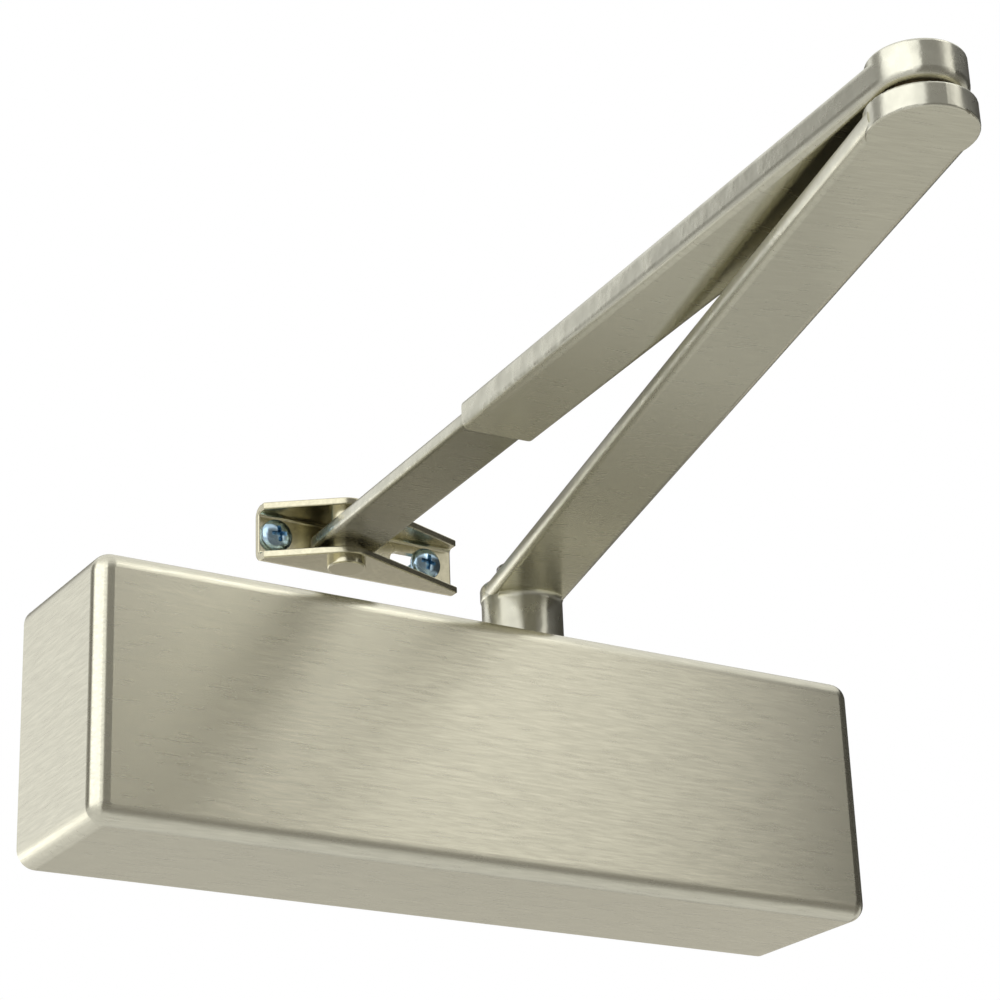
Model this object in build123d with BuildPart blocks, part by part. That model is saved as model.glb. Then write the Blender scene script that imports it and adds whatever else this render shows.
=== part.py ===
from build123d import *
from math import atan, cos, pi, radians, sin, sqrt, tan
import os

os.makedirs("parts", exist_ok=True)

# Overhead door closer with a folding arm, in millimetres.
# The origin lies on the door face behind the middle of the case: X runs along the case,
# +Y points into the door and +Z is up.

# Running and seating clearances, measured on the radius
running_fit = 0.03
seat_fit = 0.02
seal_fit = 0.05

# Spindle, pinion and rack
spindle_x = 20.5
spindle_to_door = 22.7
spindle_range = 180.0
journal_radius = 8.0
tooth_count = 12
tooth_module = 1.5
pressure_angle = 25.0
backlash = 0.25
pinion_half_height = 15.5
spindle_foot = 29.5
square_size = 11.2
square_play = 0.05
arm_screw_radius = 4.0
arm_screw_depth = 18.0

# Bearings, seals and gland nuts around the spindle
bearing_radius = 12.0
bearing_length = 8.0
bearing_play = 0.2
seal_height = 3.0
gland_height = 3.8
gland_bore_play = 0.3
gland_slot_width = 3.0
gland_slot_depth = 1.2

# Piston and its check valve
bore_radius = 16.5
piston_land = 15.0
window_gap = 2.0
window_back_gap = 1.0
piston_rest_gap = 1.0
piston_seal_width = 3.0
piston_seal_depth = 2.0
spring_guide_radius = 10.5
spring_guide_length = 6.0
check_hole_radius = 1.5
check_ball_radius = 2.5
check_pocket_radius = 3.0
check_retainer_length = 2.0
check_retainer_hole = 1.2

# Main spring, its seat and the power screw
spring_length = 70.7
spring_mean_radius = 13.5
spring_wire_radius = 2.4
spring_turns = 7.0
spring_end_gap = 0.2
seat_thickness = 5.0
seat_radius_play = 0.3
seat_rest_gap = 0.2
power_screw_radius = 4.0
power_screw_reach = 20.0
power_screw_nose = 1.5
power_collar_radius = 7.0
power_collar_length = 3.0
power_socket = 4.0
power_socket_depth = 5.0

# End plugs
plug_radius = 17.5
spring_plug_length = 14.0
valve_plug_length = 19.6
plug_ring_radius = 0.88
plug_ring_inset = 4.0
spanner_hole_radius = 2.0
spanner_hole_depth = 5.0
spanner_hole_circle = 11.5
plug_socket = 10.0
plug_socket_depth = 8.0

# Speed valves in the end of the case
valve_radius = 3.0
valve_wall = 2.4
valve_cover = 3.5
valve_angle = 54.0
valve_depth = 38.0
valve_sunk = 0.6
valve_tip_radius = 1.0
valve_tip_length = 6.0
valve_ring_radius = 0.5
valve_ring_inset = 6.0
valve_slot_width = 0.9
valve_slot_depth = 1.2
port_radius = 1.2
port_insets = (24.0, 34.0)

# Case casting and its fixing lugs
boss_height = 5.0
boss_wall = 4.5
case_edge_radius = 6.0
lug_length = 12.6
lug_half_height = 22.0
lug_thickness = 4.5
lug_corner_radius = 3.0
fixing_hole_radius = 3.0
fixing_hole_inset = 6.0
fixing_hole_rise = 14.0

# Cover, pushed on from the front
cover_wall = 1.5
cover_end_gap = 1.5
cover_top_gap = 2.0
cover_front_gap = 1.3
cover_rear_gap = 0.5
cover_corner_radius = 4.8
cover_front_radius = 4.4
cover_slot_gap = 1.5

# Spring clips that hold the cover
clip_sheet = 0.8
clip_width = 12.0
clip_x = 70.0
clip_foot = 9.0
clip_rise_run = 6.0
clip_tail_run = 9.0
clip_tail_drop = 4.0
clip_start = 8.0
clip_cover_gap = 0.3
clip_screw_radius = 1.5
clip_screw_head_radius = 2.8
clip_screw_head_height = 1.6
clip_screw_length = 5.0

# Main arm
hub_gap = 1.5
hub_height = 14.0
hub_radius = 10.9
hub_fillet = 1.5
hub_fillet_bite = 1.0
arm_thickness = 4.8
arm_hub_end_radius = 11.2
arm_hub_end_edge = 1.2
arm_hub_half_width = 11.0
arm_elbow_half_width = 11.3
arm_edge_radius = 2.2
arm_centres = 252.5
arm_heading = -104.42
arm_web = 3.5
arm_washer_radius = 8.5
arm_washer_thickness = 1.6
arm_screw_head_radius = 6.5
arm_screw_head_height = 3.8
arm_screw_socket = 5.0
arm_screw_socket_depth = 2.2

# Elbow
elbow_boss_radius = 11.0
elbow_boss_rise = 0.6
elbow_boss_edge = 0.5
elbow_pin_radius = 4.0
elbow_pin_depth = 4.0
elbow_head_radius = 7.0
elbow_head_height = 2.4
elbow_head_play = 0.3
elbow_bush_wall = 1.2
elbow_flange_radius = 7.8
elbow_flange_thickness = 1.0
elbow_washer_radius = 8.4
elbow_washer_thickness = 0.9
elbow_socket = 5.0
elbow_socket_depth = 1.5

# Forearm: a sleeve and the bar that slides in it
forearm_heading = 87.05
forearm_reach = 251.6
sleeve_reach = 167.6
sleeve_floor = 1.93
sleeve_roof = 1.37
sleeve_side_wall = 1.3
sleeve_edge_radius = 1.8
sleeve_lower_edge_radius = 2.1
head_rise = 0.8
head_edge_radius = 0.7
sleeve_solid = 15.0
bar_width = 17.0
bar_thickness = 4.0
bar_play = 0.1
bar_overlap = 76.0
bar_edge_radius = 1.4
bar_tail = 7.5
bar_tail_radius = 5.0
clamp_inset = 11.0
clamp_boss_radius = 5.0
clamp_boss_height = 2.5
clamp_screw_radius = 2.5
clamp_head_radius = 4.2
clamp_head_height = 2.0
clamp_socket = 3.0
clamp_socket_depth = 1.3

# Frame bracket, its pin and its screws
bracket_sheet = 2.0
bracket_left = 20.8
bracket_right = 37.8
bracket_nose_radius = 6.9
bracket_end_depth = 5.0
bracket_back_gap = 0.4
bracket_bend_radius = 3.0
bracket_inner_bend_radius = 1.0
bracket_edge_radius = 0.4
lower_spacer_height = 1.53
upper_spacer_height = 6.17
spacer_wall = 1.1
bracket_pin_radius = 3.4
rivet_head_radius = 5.1
rivet_head_height = 2.0
rivet_top_radius = 4.4
rivet_top_height = 0.8
rivet_edge_radius = 0.5
left_screw_offset = 15.9
right_screw_offset = 29.4
screw_hole_radius = 2.6
slot_travel = 8.0
frame_neck_play = 0.1
frame_neck_reach = 0.3
frame_screw_radius = 2.35
frame_screw_length = 7.6
frame_screw_point = 0.7
frame_screw_tip = 1.7
frame_head_radius = 4.4
frame_head_height = 2.8
frame_head_edge = 1.3
cross_width = 1.1
cross_length = 5.0
cross_depth = 1.5

# Gear geometry that follows from the module and the tooth count
pitch_radius = tooth_module * tooth_count / 2
tip_radius = pitch_radius + tooth_module
root_radius = pitch_radius - 1.25 * tooth_module
base_radius = pitch_radius * cos(radians(pressure_angle))
tooth_pitch = pi * tooth_module
tooth_half_thickness = (tooth_pitch / 2 - backlash / 2) / 2
piston_travel = pitch_radius * radians(spindle_range)

# Places along the bore
window_left = spindle_x - tip_radius - window_gap
window_right = spindle_x + tip_radius + window_gap + piston_travel
piston_left = window_left - piston_land
piston_right = window_right + piston_land
valve_plug_face = piston_right + piston_rest_gap
case_right = valve_plug_face + valve_plug_length
seat_face = piston_left - spring_length
spring_plug_face = seat_face - seat_thickness - seat_rest_gap
case_left = spring_plug_face - spring_plug_length
case_length = case_right - case_left

# Heights and depths of the case and the cover
valve_reach = plug_radius + valve_wall + valve_radius
valve_y = -spindle_to_door - valve_reach * cos(radians(valve_angle))
valve_z = valve_reach * sin(radians(valve_angle))
case_half_height = valve_z + valve_radius + valve_cover
case_depth = -valve_y + valve_radius + valve_cover
boss_top = case_half_height + boss_height
boss_radius = bearing_radius + boss_wall
bearing_bottom = pinion_half_height + bearing_play
seal_bottom = bearing_bottom + bearing_length
gland_bottom = seal_bottom + seal_height
clip_y = -clip_start - clip_foot / 2
cover_left = case_left - lug_length - cover_end_gap - cover_wall
cover_right = case_right + lug_length + cover_end_gap + cover_wall
cover_length = cover_right - cover_left
cover_middle = (cover_left + cover_right) / 2
cover_half_height = boss_top + cover_top_gap + cover_wall
cover_depth = case_depth + cover_front_gap + cover_wall - cover_rear_gap

# Heights of the arm, from the cover upwards
hub_bottom = cover_half_height + hub_gap
arm_bottom = hub_bottom + hub_height
arm_top = arm_bottom + arm_thickness
spindle_top = arm_top - arm_web
elbow_boss_top = arm_top + elbow_boss_rise
sleeve_bottom = elbow_boss_top + elbow_washer_thickness + elbow_flange_thickness
sleeve_height = sleeve_floor + bar_thickness + 2 * bar_play + sleeve_roof
sleeve_top = sleeve_bottom + sleeve_height
sleeve_width = bar_width + 2 * (bar_play + sleeve_side_wall)
head_top = sleeve_top + head_rise
elbow_pocket_floor = head_top - elbow_head_height - elbow_head_play
bar_bottom = sleeve_bottom + sleeve_floor + bar_play
bar_top = bar_bottom + bar_thickness
ear_bottom = bar_bottom - lower_spacer_height - bracket_sheet
upper_ear_bottom = bar_top + upper_spacer_height
bracket_top = upper_ear_bottom + bracket_sheet
bracket_height = bracket_top - ear_bottom
bracket_middle = (ear_bottom + bracket_top) / 2

# The bar's rounded tail sets how far the pin stands off the bracket's back plate
tail_corner_x = bar_tail - bar_tail_radius
tail_corner_y = bar_width / 2 - bar_tail_radius
tail_swing = sqrt(tail_corner_x**2 + tail_corner_y**2) + bar_tail_radius
pin_to_back = tail_swing + bracket_back_gap + bracket_sheet
spacer_radius = bracket_pin_radius + running_fit + spacer_wall

# Places and planes of the arm
arm_direction = (cos(radians(arm_heading)), sin(radians(arm_heading)), 0)
forearm_direction = (cos(radians(forearm_heading)), sin(radians(forearm_heading)), 0)
forearm_across = Axis((0, 0, 0), (-forearm_direction[1], forearm_direction[0], 0))
elbow_x = spindle_x + arm_centres * arm_direction[0]
elbow_y = -spindle_to_door + arm_centres * arm_direction[1]
arm_section = Plane(
    origin=(spindle_x, -spindle_to_door, arm_bottom),
    x_dir=arm_direction,
    z_dir=(arm_direction[1], -arm_direction[0], 0),
)
pivot_x = elbow_x + forearm_reach * forearm_direction[0]
pivot_y = elbow_y + forearm_reach * forearm_direction[1]


def along_bore(x, facing=1):
    """Plane across the bore at x, facing +X or -X."""
    return Plane(origin=(x, -spindle_to_door, 0), x_dir=(0, facing, 0), z_dir=(facing, 0, 0))


def on_spindle(z, facing=1):
    """Plane across the spindle at height z, facing up or down."""
    return Plane(origin=(spindle_x, -spindle_to_door, z), x_dir=(1, 0, 0), z_dir=(0, 0, facing))


def on_arm(z):
    """Plane along the main arm at height z, with its origin on the spindle axis."""
    return Plane(origin=(spindle_x, -spindle_to_door, z), x_dir=arm_direction, z_dir=(0, 0, 1))


def on_forearm(z):
    """Plane along the forearm at height z, with its origin on the elbow axis."""
    return Plane(origin=(elbow_x, elbow_y, z), x_dir=forearm_direction, z_dir=(0, 0, 1))


def on_bracket(z):
    """Plane at height z with its origin on the bracket's pin."""
    return Plane(origin=(pivot_x, pivot_y, z), x_dir=(1, 0, 0), z_dir=(0, 0, 1))


def ring(plane, outer, inner, height):
    """Plain ring that stands on a plane."""
    with BuildPart() as blank:
        with BuildSketch(plane):
            Circle(outer)
            Circle(inner, mode=Mode.SUBTRACT)
        extrude(amount=height)
    return blank.part


def rounded_disc(plane, radius, height, edge):
    """Disc that stands on a plane, with both rims rounded."""
    with BuildPart() as blank:
        with BuildSketch(plane):
            Circle(radius)
        extrude(amount=height)
        fillet(blank.edges().filter_by(GeomType.CIRCLE), radius=edge)
    return blank.part


def cord_ring(plane, middle_radius, cord_radius):
    """Round-section sealing ring about a plane's normal."""
    with BuildPart(plane) as blank:
        Torus(middle_radius, cord_radius)
    return blank.part


def polar(radius, angle):
    """Point at an angle, in radians, round the origin."""
    return (radius * cos(angle), radius * sin(angle))


def involute(radius):
    """Roll angle between the base circle and an involute at a radius."""
    roll = sqrt(max((radius / base_radius) ** 2 - 1, 0))
    return roll - atan(roll)


# Case casting: bored along X for the piston and upright for the spindle
with BuildPart() as case_casting:
    with BuildSketch(Plane(origin=(case_left, 0, 0), x_dir=(0, 1, 0), z_dir=(1, 0, 0))) as case_section:
        with Locations((-case_depth / 2, 0)):
            Rectangle(case_depth, 2 * case_half_height)
        fillet(case_section.vertices().group_by(Axis.X)[0], radius=case_edge_radius)
    extrude(amount=case_length)
    with BuildSketch(Plane.XZ):
        with Locations(((case_left + case_right) / 2, 0)):
            RectangleRounded(case_length + 2 * lug_length, 2 * lug_half_height, lug_corner_radius)
    extrude(amount=lug_thickness)
    with BuildSketch(on_spindle(-boss_top)):
        Circle(boss_radius)
    extrude(amount=2 * boss_top)
    with BuildSketch(along_bore(case_left)):
        Circle(bore_radius)
    extrude(amount=case_length, mode=Mode.SUBTRACT)
    with BuildSketch(along_bore(case_left)):
        Circle(plug_radius)
    extrude(amount=spring_plug_length, mode=Mode.SUBTRACT)
    with BuildSketch(along_bore(case_right, -1)):
        Circle(plug_radius)
    extrude(amount=valve_plug_length, mode=Mode.SUBTRACT)
    with BuildSketch(on_spindle(-boss_top)):
        Circle(bearing_radius)
    extrude(amount=2 * boss_top, mode=Mode.SUBTRACT)
    for side in (1, -1):
        valve_mouth = Plane(origin=(case_right, valve_y, side * valve_z), x_dir=(0, -1, 0), z_dir=(-1, 0, 0))
        with BuildSketch(valve_mouth):
            Circle(valve_radius)
        extrude(amount=valve_depth, mode=Mode.SUBTRACT)
        to_bore = (0, cos(radians(valve_angle)), -side * sin(radians(valve_angle)))
        for inset in port_insets:
            port_start = (case_right - inset, valve_y, side * valve_z)
            with BuildSketch(Plane(origin=port_start, x_dir=(1, 0, 0), z_dir=to_bore)):
                Circle(port_radius)
            extrude(amount=valve_reach, mode=Mode.SUBTRACT)
    with BuildSketch(Plane.XZ):
        for x in (case_left - fixing_hole_inset, case_right + fixing_hole_inset):
            with Locations((x, fixing_hole_rise), (x, -fixing_hole_rise)):
                Circle(fixing_hole_radius)
    extrude(amount=lug_thickness, mode=Mode.SUBTRACT)
    for side in (1, -1):
        with BuildSketch(Plane.XY.offset(side * case_half_height)):
            with Locations((-clip_x, clip_y), (clip_x, clip_y)):
                Circle(clip_screw_radius + seat_fit)
        extrude(amount=-side * clip_screw_length, mode=Mode.SUBTRACT)
case_casting.part.label = "case_casting"
export_step(case_casting.part, "parts/case_casting.step")

# Spring-end plug, bored for the power screw
plug_groove_floor = plug_radius - 2 * plug_ring_radius - 2 * seat_fit
with BuildPart() as spring_end_plug:
    with BuildSketch(along_bore(case_left)):
        Circle(plug_radius - seat_fit)
        Circle(power_screw_radius + running_fit, mode=Mode.SUBTRACT)
    extrude(amount=spring_plug_length)
    with BuildSketch(along_bore(spring_plug_face, -1)):
        Circle(power_collar_radius + seal_fit)
    extrude(amount=power_collar_length + seal_fit, mode=Mode.SUBTRACT)
    with BuildSketch(along_bore(spring_plug_face - plug_ring_inset - plug_ring_radius - seat_fit)):
        Circle(plug_radius)
        Circle(plug_groove_floor, mode=Mode.SUBTRACT)
    extrude(amount=2 * (plug_ring_radius + seat_fit), mode=Mode.SUBTRACT)
    with BuildSketch(along_bore(case_left)):
        with PolarLocations(spanner_hole_circle, 2):
            Circle(spanner_hole_radius)
    extrude(amount=spanner_hole_depth, mode=Mode.SUBTRACT)
spring_end_plug.part.label = "spring_end_plug"
export_step(spring_end_plug.part, "parts/spring_end_plug.step")

# Valve-end plug, blind, with a hexagon socket
with BuildPart() as valve_end_plug:
    with BuildSketch(along_bore(case_right, -1)):
        Circle(plug_radius - seat_fit)
    extrude(amount=valve_plug_length)
    with BuildSketch(along_bore(valve_plug_face + plug_ring_inset - plug_ring_radius - seat_fit)):
        Circle(plug_radius)
        Circle(plug_groove_floor, mode=Mode.SUBTRACT)
    extrude(amount=2 * (plug_ring_radius + seat_fit), mode=Mode.SUBTRACT)
    with BuildSketch(along_bore(case_right, -1)):
        RegularPolygon(plug_socket / 2, 6, major_radius=False)
    extrude(amount=plug_socket_depth, mode=Mode.SUBTRACT)
valve_end_plug.part.label = "valve_end_plug"
export_step(valve_end_plug.part, "parts/valve_end_plug.step")

# Sealing rings of the two plugs
plug_ring_middle = plug_radius - seat_fit - plug_ring_radius
plug_rings = {
    "spring_plug_ring": spring_plug_face - plug_ring_inset,
    "valve_plug_ring": valve_plug_face + plug_ring_inset,
}
for ring_name, ring_x in plug_rings.items():
    plug_ring = cord_ring(along_bore(ring_x), plug_ring_middle, plug_ring_radius)
    plug_ring.label = ring_name
    export_step(plug_ring, f"parts/{ring_name}.step")

# Bearing, lip seal and slotted gland nut above and below the pinion
for end_name, end in (("upper", 1), ("lower", -1)):
    bearing = ring(
        on_spindle(end * bearing_bottom, end),
        bearing_radius - seat_fit,
        journal_radius + running_fit,
        bearing_length,
    )
    bearing.label = f"{end_name}_bearing"
    export_step(bearing, f"parts/{end_name}_bearing.step")
    lip_seal = ring(
        on_spindle(end * seal_bottom, end),
        bearing_radius - seat_fit,
        journal_radius + seal_fit,
        seal_height,
    )
    lip_seal.label = f"{end_name}_seal"
    export_step(lip_seal, f"parts/{end_name}_seal.step")
    with BuildPart() as gland_nut:
        with BuildSketch(on_spindle(end * gland_bottom, end)):
            Circle(bearing_radius - seat_fit)
            Circle(journal_radius + gland_bore_play, mode=Mode.SUBTRACT)
        extrude(amount=gland_height)
        with BuildSketch(on_spindle(end * (gland_bottom + gland_height), end)):
            Rectangle(2 * bearing_radius, gland_slot_width)
        extrude(amount=-gland_slot_depth, mode=Mode.SUBTRACT)
    gland_nut.part.label = f"{end_name}_gland_nut"
    export_step(gland_nut.part, f"parts/{end_name}_gland_nut.step")

# Pinion spindle: involute teeth between two journals, with a square for the arm
tooth_half_angle = tooth_half_thickness / pitch_radius
flank_offset = tooth_half_angle + involute(pitch_radius)
flank_steps = 4
flank_radii = [
    base_radius + (tip_radius - base_radius) * step / flank_steps for step in range(flank_steps + 1)
]
with BuildPart() as pinion_spindle:
    with BuildSketch(on_spindle(-pinion_half_height)):
        with BuildLine():
            for tooth in range(tooth_count):
                middle = pi / 2 + tooth * 2 * pi / tooth_count
                next_middle = middle + 2 * pi / tooth_count
                rising = [polar(r, middle - flank_offset + involute(r)) for r in flank_radii]
                falling = [polar(r, middle + flank_offset - involute(r)) for r in reversed(flank_radii)]
                Line(polar(root_radius, middle - flank_offset), rising[0])
                Spline(*rising)
                Line(rising[-1], falling[0])
                Spline(*falling)
                Line(falling[-1], polar(root_radius, middle + flank_offset))
                Line(
                    polar(root_radius, middle + flank_offset),
                    polar(root_radius, next_middle - flank_offset),
                )
        make_face()
    extrude(amount=2 * pinion_half_height)
    with BuildSketch(on_spindle(pinion_half_height)):
        Circle(journal_radius)
    extrude(amount=hub_bottom - square_play - pinion_half_height)
    with BuildSketch(on_spindle(-pinion_half_height, -1)):
        Circle(journal_radius)
    extrude(amount=spindle_foot - pinion_half_height)
    with BuildSketch(on_arm(hub_bottom - square_play)):
        Rectangle(square_size, square_size)
    extrude(amount=spindle_top - hub_bottom + square_play)
    with BuildSketch(on_spindle(spindle_top, -1)):
        Circle(arm_screw_radius + seat_fit)
    extrude(amount=arm_screw_depth, mode=Mode.SUBTRACT)
pinion_spindle.part.label = "pinion_spindle"
export_step(pinion_spindle.part, "parts/pinion_spindle.step")

# Piston: its window is toothed as a rack along the front side
rack_tip = pitch_radius - tooth_module
rack_root = pitch_radius + 1.25 * tooth_module
rack_slope = tan(radians(pressure_angle))
rack_tip_half = tooth_half_thickness - tooth_module * rack_slope
rack_root_half = tooth_half_thickness + 1.25 * tooth_module * rack_slope
first_tooth = -int((spindle_x - window_left - rack_root_half) / tooth_pitch + 0.5)
last_tooth = int((window_right - spindle_x - rack_root_half) / tooth_pitch - 0.5)
rack_outline = [(window_left - spindle_x, -rack_root)]
for tooth in range(first_tooth, last_tooth + 1):
    middle = (tooth + 0.5) * tooth_pitch
    rack_outline.append((middle - rack_root_half, -rack_root))
    rack_outline.append((middle - rack_tip_half, -rack_tip))
    rack_outline.append((middle + rack_tip_half, -rack_tip))
    rack_outline.append((middle + rack_root_half, -rack_root))
rack_outline.append((window_right - spindle_x, -rack_root))
rack_outline.append((window_right - spindle_x, tip_radius + window_back_gap))
rack_outline.append((window_left - spindle_x, tip_radius + window_back_gap))
piston_radius = bore_radius - running_fit
piston_seal_x = (piston_left + window_left) / 2
piston_seal_floor = piston_radius - piston_seal_depth
check_seat_x = window_right + piston_land / 2
with BuildPart() as piston:
    with BuildSketch(along_bore(piston_left)):
        Circle(piston_radius)
    extrude(amount=piston_right - piston_left)
    with BuildSketch(along_bore(piston_left, -1)):
        Circle(spring_guide_radius)
    extrude(amount=spring_guide_length)
    with BuildSketch(on_spindle(-bore_radius)):
        with BuildLine():
            Polyline(*rack_outline, close=True)
        make_face()
    extrude(amount=2 * bore_radius, mode=Mode.SUBTRACT)
    with BuildSketch(along_bore(piston_seal_x - piston_seal_width / 2)):
        Circle(bore_radius)
        Circle(piston_seal_floor, mode=Mode.SUBTRACT)
    extrude(amount=piston_seal_width, mode=Mode.SUBTRACT)
    with BuildSketch(along_bore(window_right)):
        Circle(check_hole_radius)
    extrude(amount=piston_land, mode=Mode.SUBTRACT)
    with BuildSketch(along_bore(check_seat_x)):
        Circle(check_pocket_radius)
    extrude(amount=piston_land / 2, mode=Mode.SUBTRACT)
piston.part.label = "piston"
export_step(piston.part, "parts/piston.step")

piston_seal = ring(
    along_bore(piston_seal_x - piston_seal_width / 2 + seat_fit),
    bore_radius - seat_fit,
    piston_seal_floor + seat_fit,
    piston_seal_width - 2 * seat_fit,
)
piston_seal.label = "piston_seal"
export_step(piston_seal, "parts/piston_seal.step")

# The check ball rests on the rim of its hole, and a drilled retainer keeps it in
ball_rise = sqrt(check_ball_radius**2 - check_hole_radius**2) + seat_fit
with BuildPart(along_bore(check_seat_x + ball_rise)) as check_ball:
    Sphere(check_ball_radius)
check_ball.part.label = "check_ball"
export_step(check_ball.part, "parts/check_ball.step")

check_retainer = ring(
    along_bore(piston_right - check_retainer_length),
    check_pocket_radius - seat_fit,
    check_retainer_hole,
    check_retainer_length,
)
check_retainer.label = "check_retainer"
export_step(check_retainer, "parts/check_retainer.step")

# Main spring between its seat and the piston
spring_start = seat_face + spring_wire_radius + spring_end_gap
spring_height = spring_length - 2 * (spring_wire_radius + spring_end_gap)
with BuildPart() as main_spring:
    with BuildLine() as spring_path:
        Helix(
            pitch=spring_height / spring_turns,
            height=spring_height,
            radius=spring_mean_radius,
            center=(spring_start, -spindle_to_door, 0),
            direction=(1, 0, 0),
        )
    with BuildSketch(Plane(origin=spring_path.line @ 0, z_dir=spring_path.line % 0)):
        Circle(spring_wire_radius)
    sweep(path=spring_path.line, is_frenet=True)
main_spring.part.label = "main_spring"
export_step(main_spring.part, "parts/main_spring.step")

with BuildPart() as spring_seat:
    with BuildSketch(along_bore(seat_face - seat_thickness)):
        Circle(bore_radius - seat_radius_play)
    extrude(amount=seat_thickness)
    with BuildSketch(along_bore(seat_face)):
        Circle(spring_guide_radius)
    extrude(amount=spring_guide_length)
    with BuildSketch(along_bore(seat_face - seat_thickness)):
        Circle(power_screw_radius + running_fit)
    extrude(amount=seat_thickness + spring_guide_length, mode=Mode.SUBTRACT)
spring_seat.part.label = "spring_seat"
export_step(spring_seat.part, "parts/spring_seat.step")

# Power screw: a collar in the plug holds it while its thread draws the seat along
with BuildPart() as power_screw:
    with BuildSketch(along_bore(case_left - power_screw_nose)):
        Circle(power_screw_radius)
    extrude(amount=seat_face + power_screw_reach - case_left + power_screw_nose)
    with BuildSketch(along_bore(spring_plug_face, -1)):
        Circle(power_collar_radius)
    extrude(amount=power_collar_length)
    with BuildSketch(along_bore(case_left - power_screw_nose)):
        RegularPolygon(power_socket / 2, 6, major_radius=False)
    extrude(amount=power_socket_depth, mode=Mode.SUBTRACT)
power_screw.part.label = "power_screw"
export_step(power_screw.part, "parts/power_screw.step")

# Closing-speed and latching-speed valves with their sealing rings
valve_ring_floor = valve_radius - 2 * valve_ring_radius - 2 * seat_fit
for valve_name, side in (("closing", 1), ("latching", -1)):
    valve_face = Plane(
        origin=(case_right - valve_sunk, valve_y, side * valve_z),
        x_dir=(0, -1, 0),
        z_dir=(-1, 0, 0),
    )
    with BuildPart() as speed_valve:
        with BuildSketch(valve_face):
            Circle(valve_radius - running_fit)
        extrude(amount=valve_depth - valve_sunk - valve_tip_length)
        with BuildSketch(valve_face.offset(valve_depth - valve_sunk - valve_tip_length)):
            Circle(valve_radius - running_fit)
        with BuildSketch(valve_face.offset(valve_depth - valve_sunk)):
            Circle(valve_tip_radius)
        loft()
        with BuildSketch(valve_face.offset(valve_ring_inset - valve_ring_radius - seat_fit)):
            Circle(valve_radius)
            Circle(valve_ring_floor, mode=Mode.SUBTRACT)
        extrude(amount=2 * (valve_ring_radius + seat_fit), mode=Mode.SUBTRACT)
        with BuildSketch(valve_face):
            Rectangle(2 * valve_radius, valve_slot_width)
        extrude(amount=valve_slot_depth, mode=Mode.SUBTRACT)
    speed_valve.part.label = f"{valve_name}_valve"
    export_step(speed_valve.part, f"parts/{valve_name}_valve.step")
    valve_ring = cord_ring(
        valve_face.offset(valve_ring_inset),
        valve_radius - seat_fit - valve_ring_radius,
        valve_ring_radius,
    )
    valve_ring.label = f"{valve_name}_valve_ring"
    export_step(valve_ring, f"parts/{valve_name}_valve_ring.step")

# Spring clips on the case, and the small screws that hold them
clip_top = cover_half_height - cover_wall - clip_cover_gap
clip_rise = clip_top - case_half_height - clip_sheet / 2
with BuildPart() as cover_clips:
    for side in (1, -1):
        for clip_middle in (-clip_x, clip_x):
            foot = Plane(
                origin=(clip_middle - clip_width / 2, -clip_start, side * (case_half_height + clip_sheet / 2)),
                x_dir=(0, -1, 0),
                z_dir=(1, 0, 0),
            )
            up = -side
            with BuildSketch(foot):
                with BuildLine() as clip_line:
                    Polyline(
                        (0, 0),
                        (clip_foot, 0),
                        (clip_foot + clip_rise_run, up * (clip_rise - clip_sheet / 2)),
                        (clip_foot + clip_rise_run + clip_tail_run, up * (clip_rise - clip_tail_drop)),
                    )
                trace(lines=clip_line.line, line_width=clip_sheet)
            extrude(amount=clip_width)
    for side in (1, -1):
        with BuildSketch(Plane.XY.offset(side * case_half_height)):
            with Locations((-clip_x, clip_y), (clip_x, clip_y)):
                Circle(clip_screw_radius + seat_fit)
        extrude(amount=side * clip_sheet, mode=Mode.SUBTRACT)
cover_clips.part.label = "cover_clips"
export_step(cover_clips.part, "parts/cover_clips.step")

with BuildPart() as clip_screws:
    for side in (1, -1):
        seat_height = case_half_height + clip_sheet
        with BuildSketch(Plane.XY.offset(side * seat_height)):
            with Locations((-clip_x, clip_y), (clip_x, clip_y)):
                Circle(clip_screw_head_radius)
        extrude(amount=side * clip_screw_head_height)
        with BuildSketch(Plane.XY.offset(side * seat_height)):
            with Locations((-clip_x, clip_y), (clip_x, clip_y)):
                Circle(clip_screw_radius)
        extrude(amount=-side * clip_screw_length)
clip_screws.part.label = "clip_screws"
export_step(clip_screws.part, "parts/clip_screws.step")

# Cover: a shell open towards the door, slotted at the top so that it passes the spindle
with BuildPart() as cover:
    with BuildSketch(Plane.XZ.offset(cover_rear_gap)):
        with Locations((cover_middle, 0)):
            RectangleRounded(cover_length, 2 * cover_half_height, cover_corner_radius)
    extrude(amount=cover_depth)
    fillet(cover.faces().sort_by(Axis.Y)[0].edges(), radius=cover_front_radius)
    offset(amount=-cover_wall, openings=cover.faces().sort_by(Axis.Y)[-1])
    with BuildSketch(on_spindle(cover_half_height - 2 * cover_wall)):
        Circle(journal_radius + cover_slot_gap)
        with Locations((0, spindle_to_door / 2)):
            Rectangle(2 * (journal_radius + cover_slot_gap), spindle_to_door)
    extrude(amount=3 * cover_wall, mode=Mode.SUBTRACT)
cover.part.label = "cover"
export_step(cover.part, "parts/cover.step")

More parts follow.
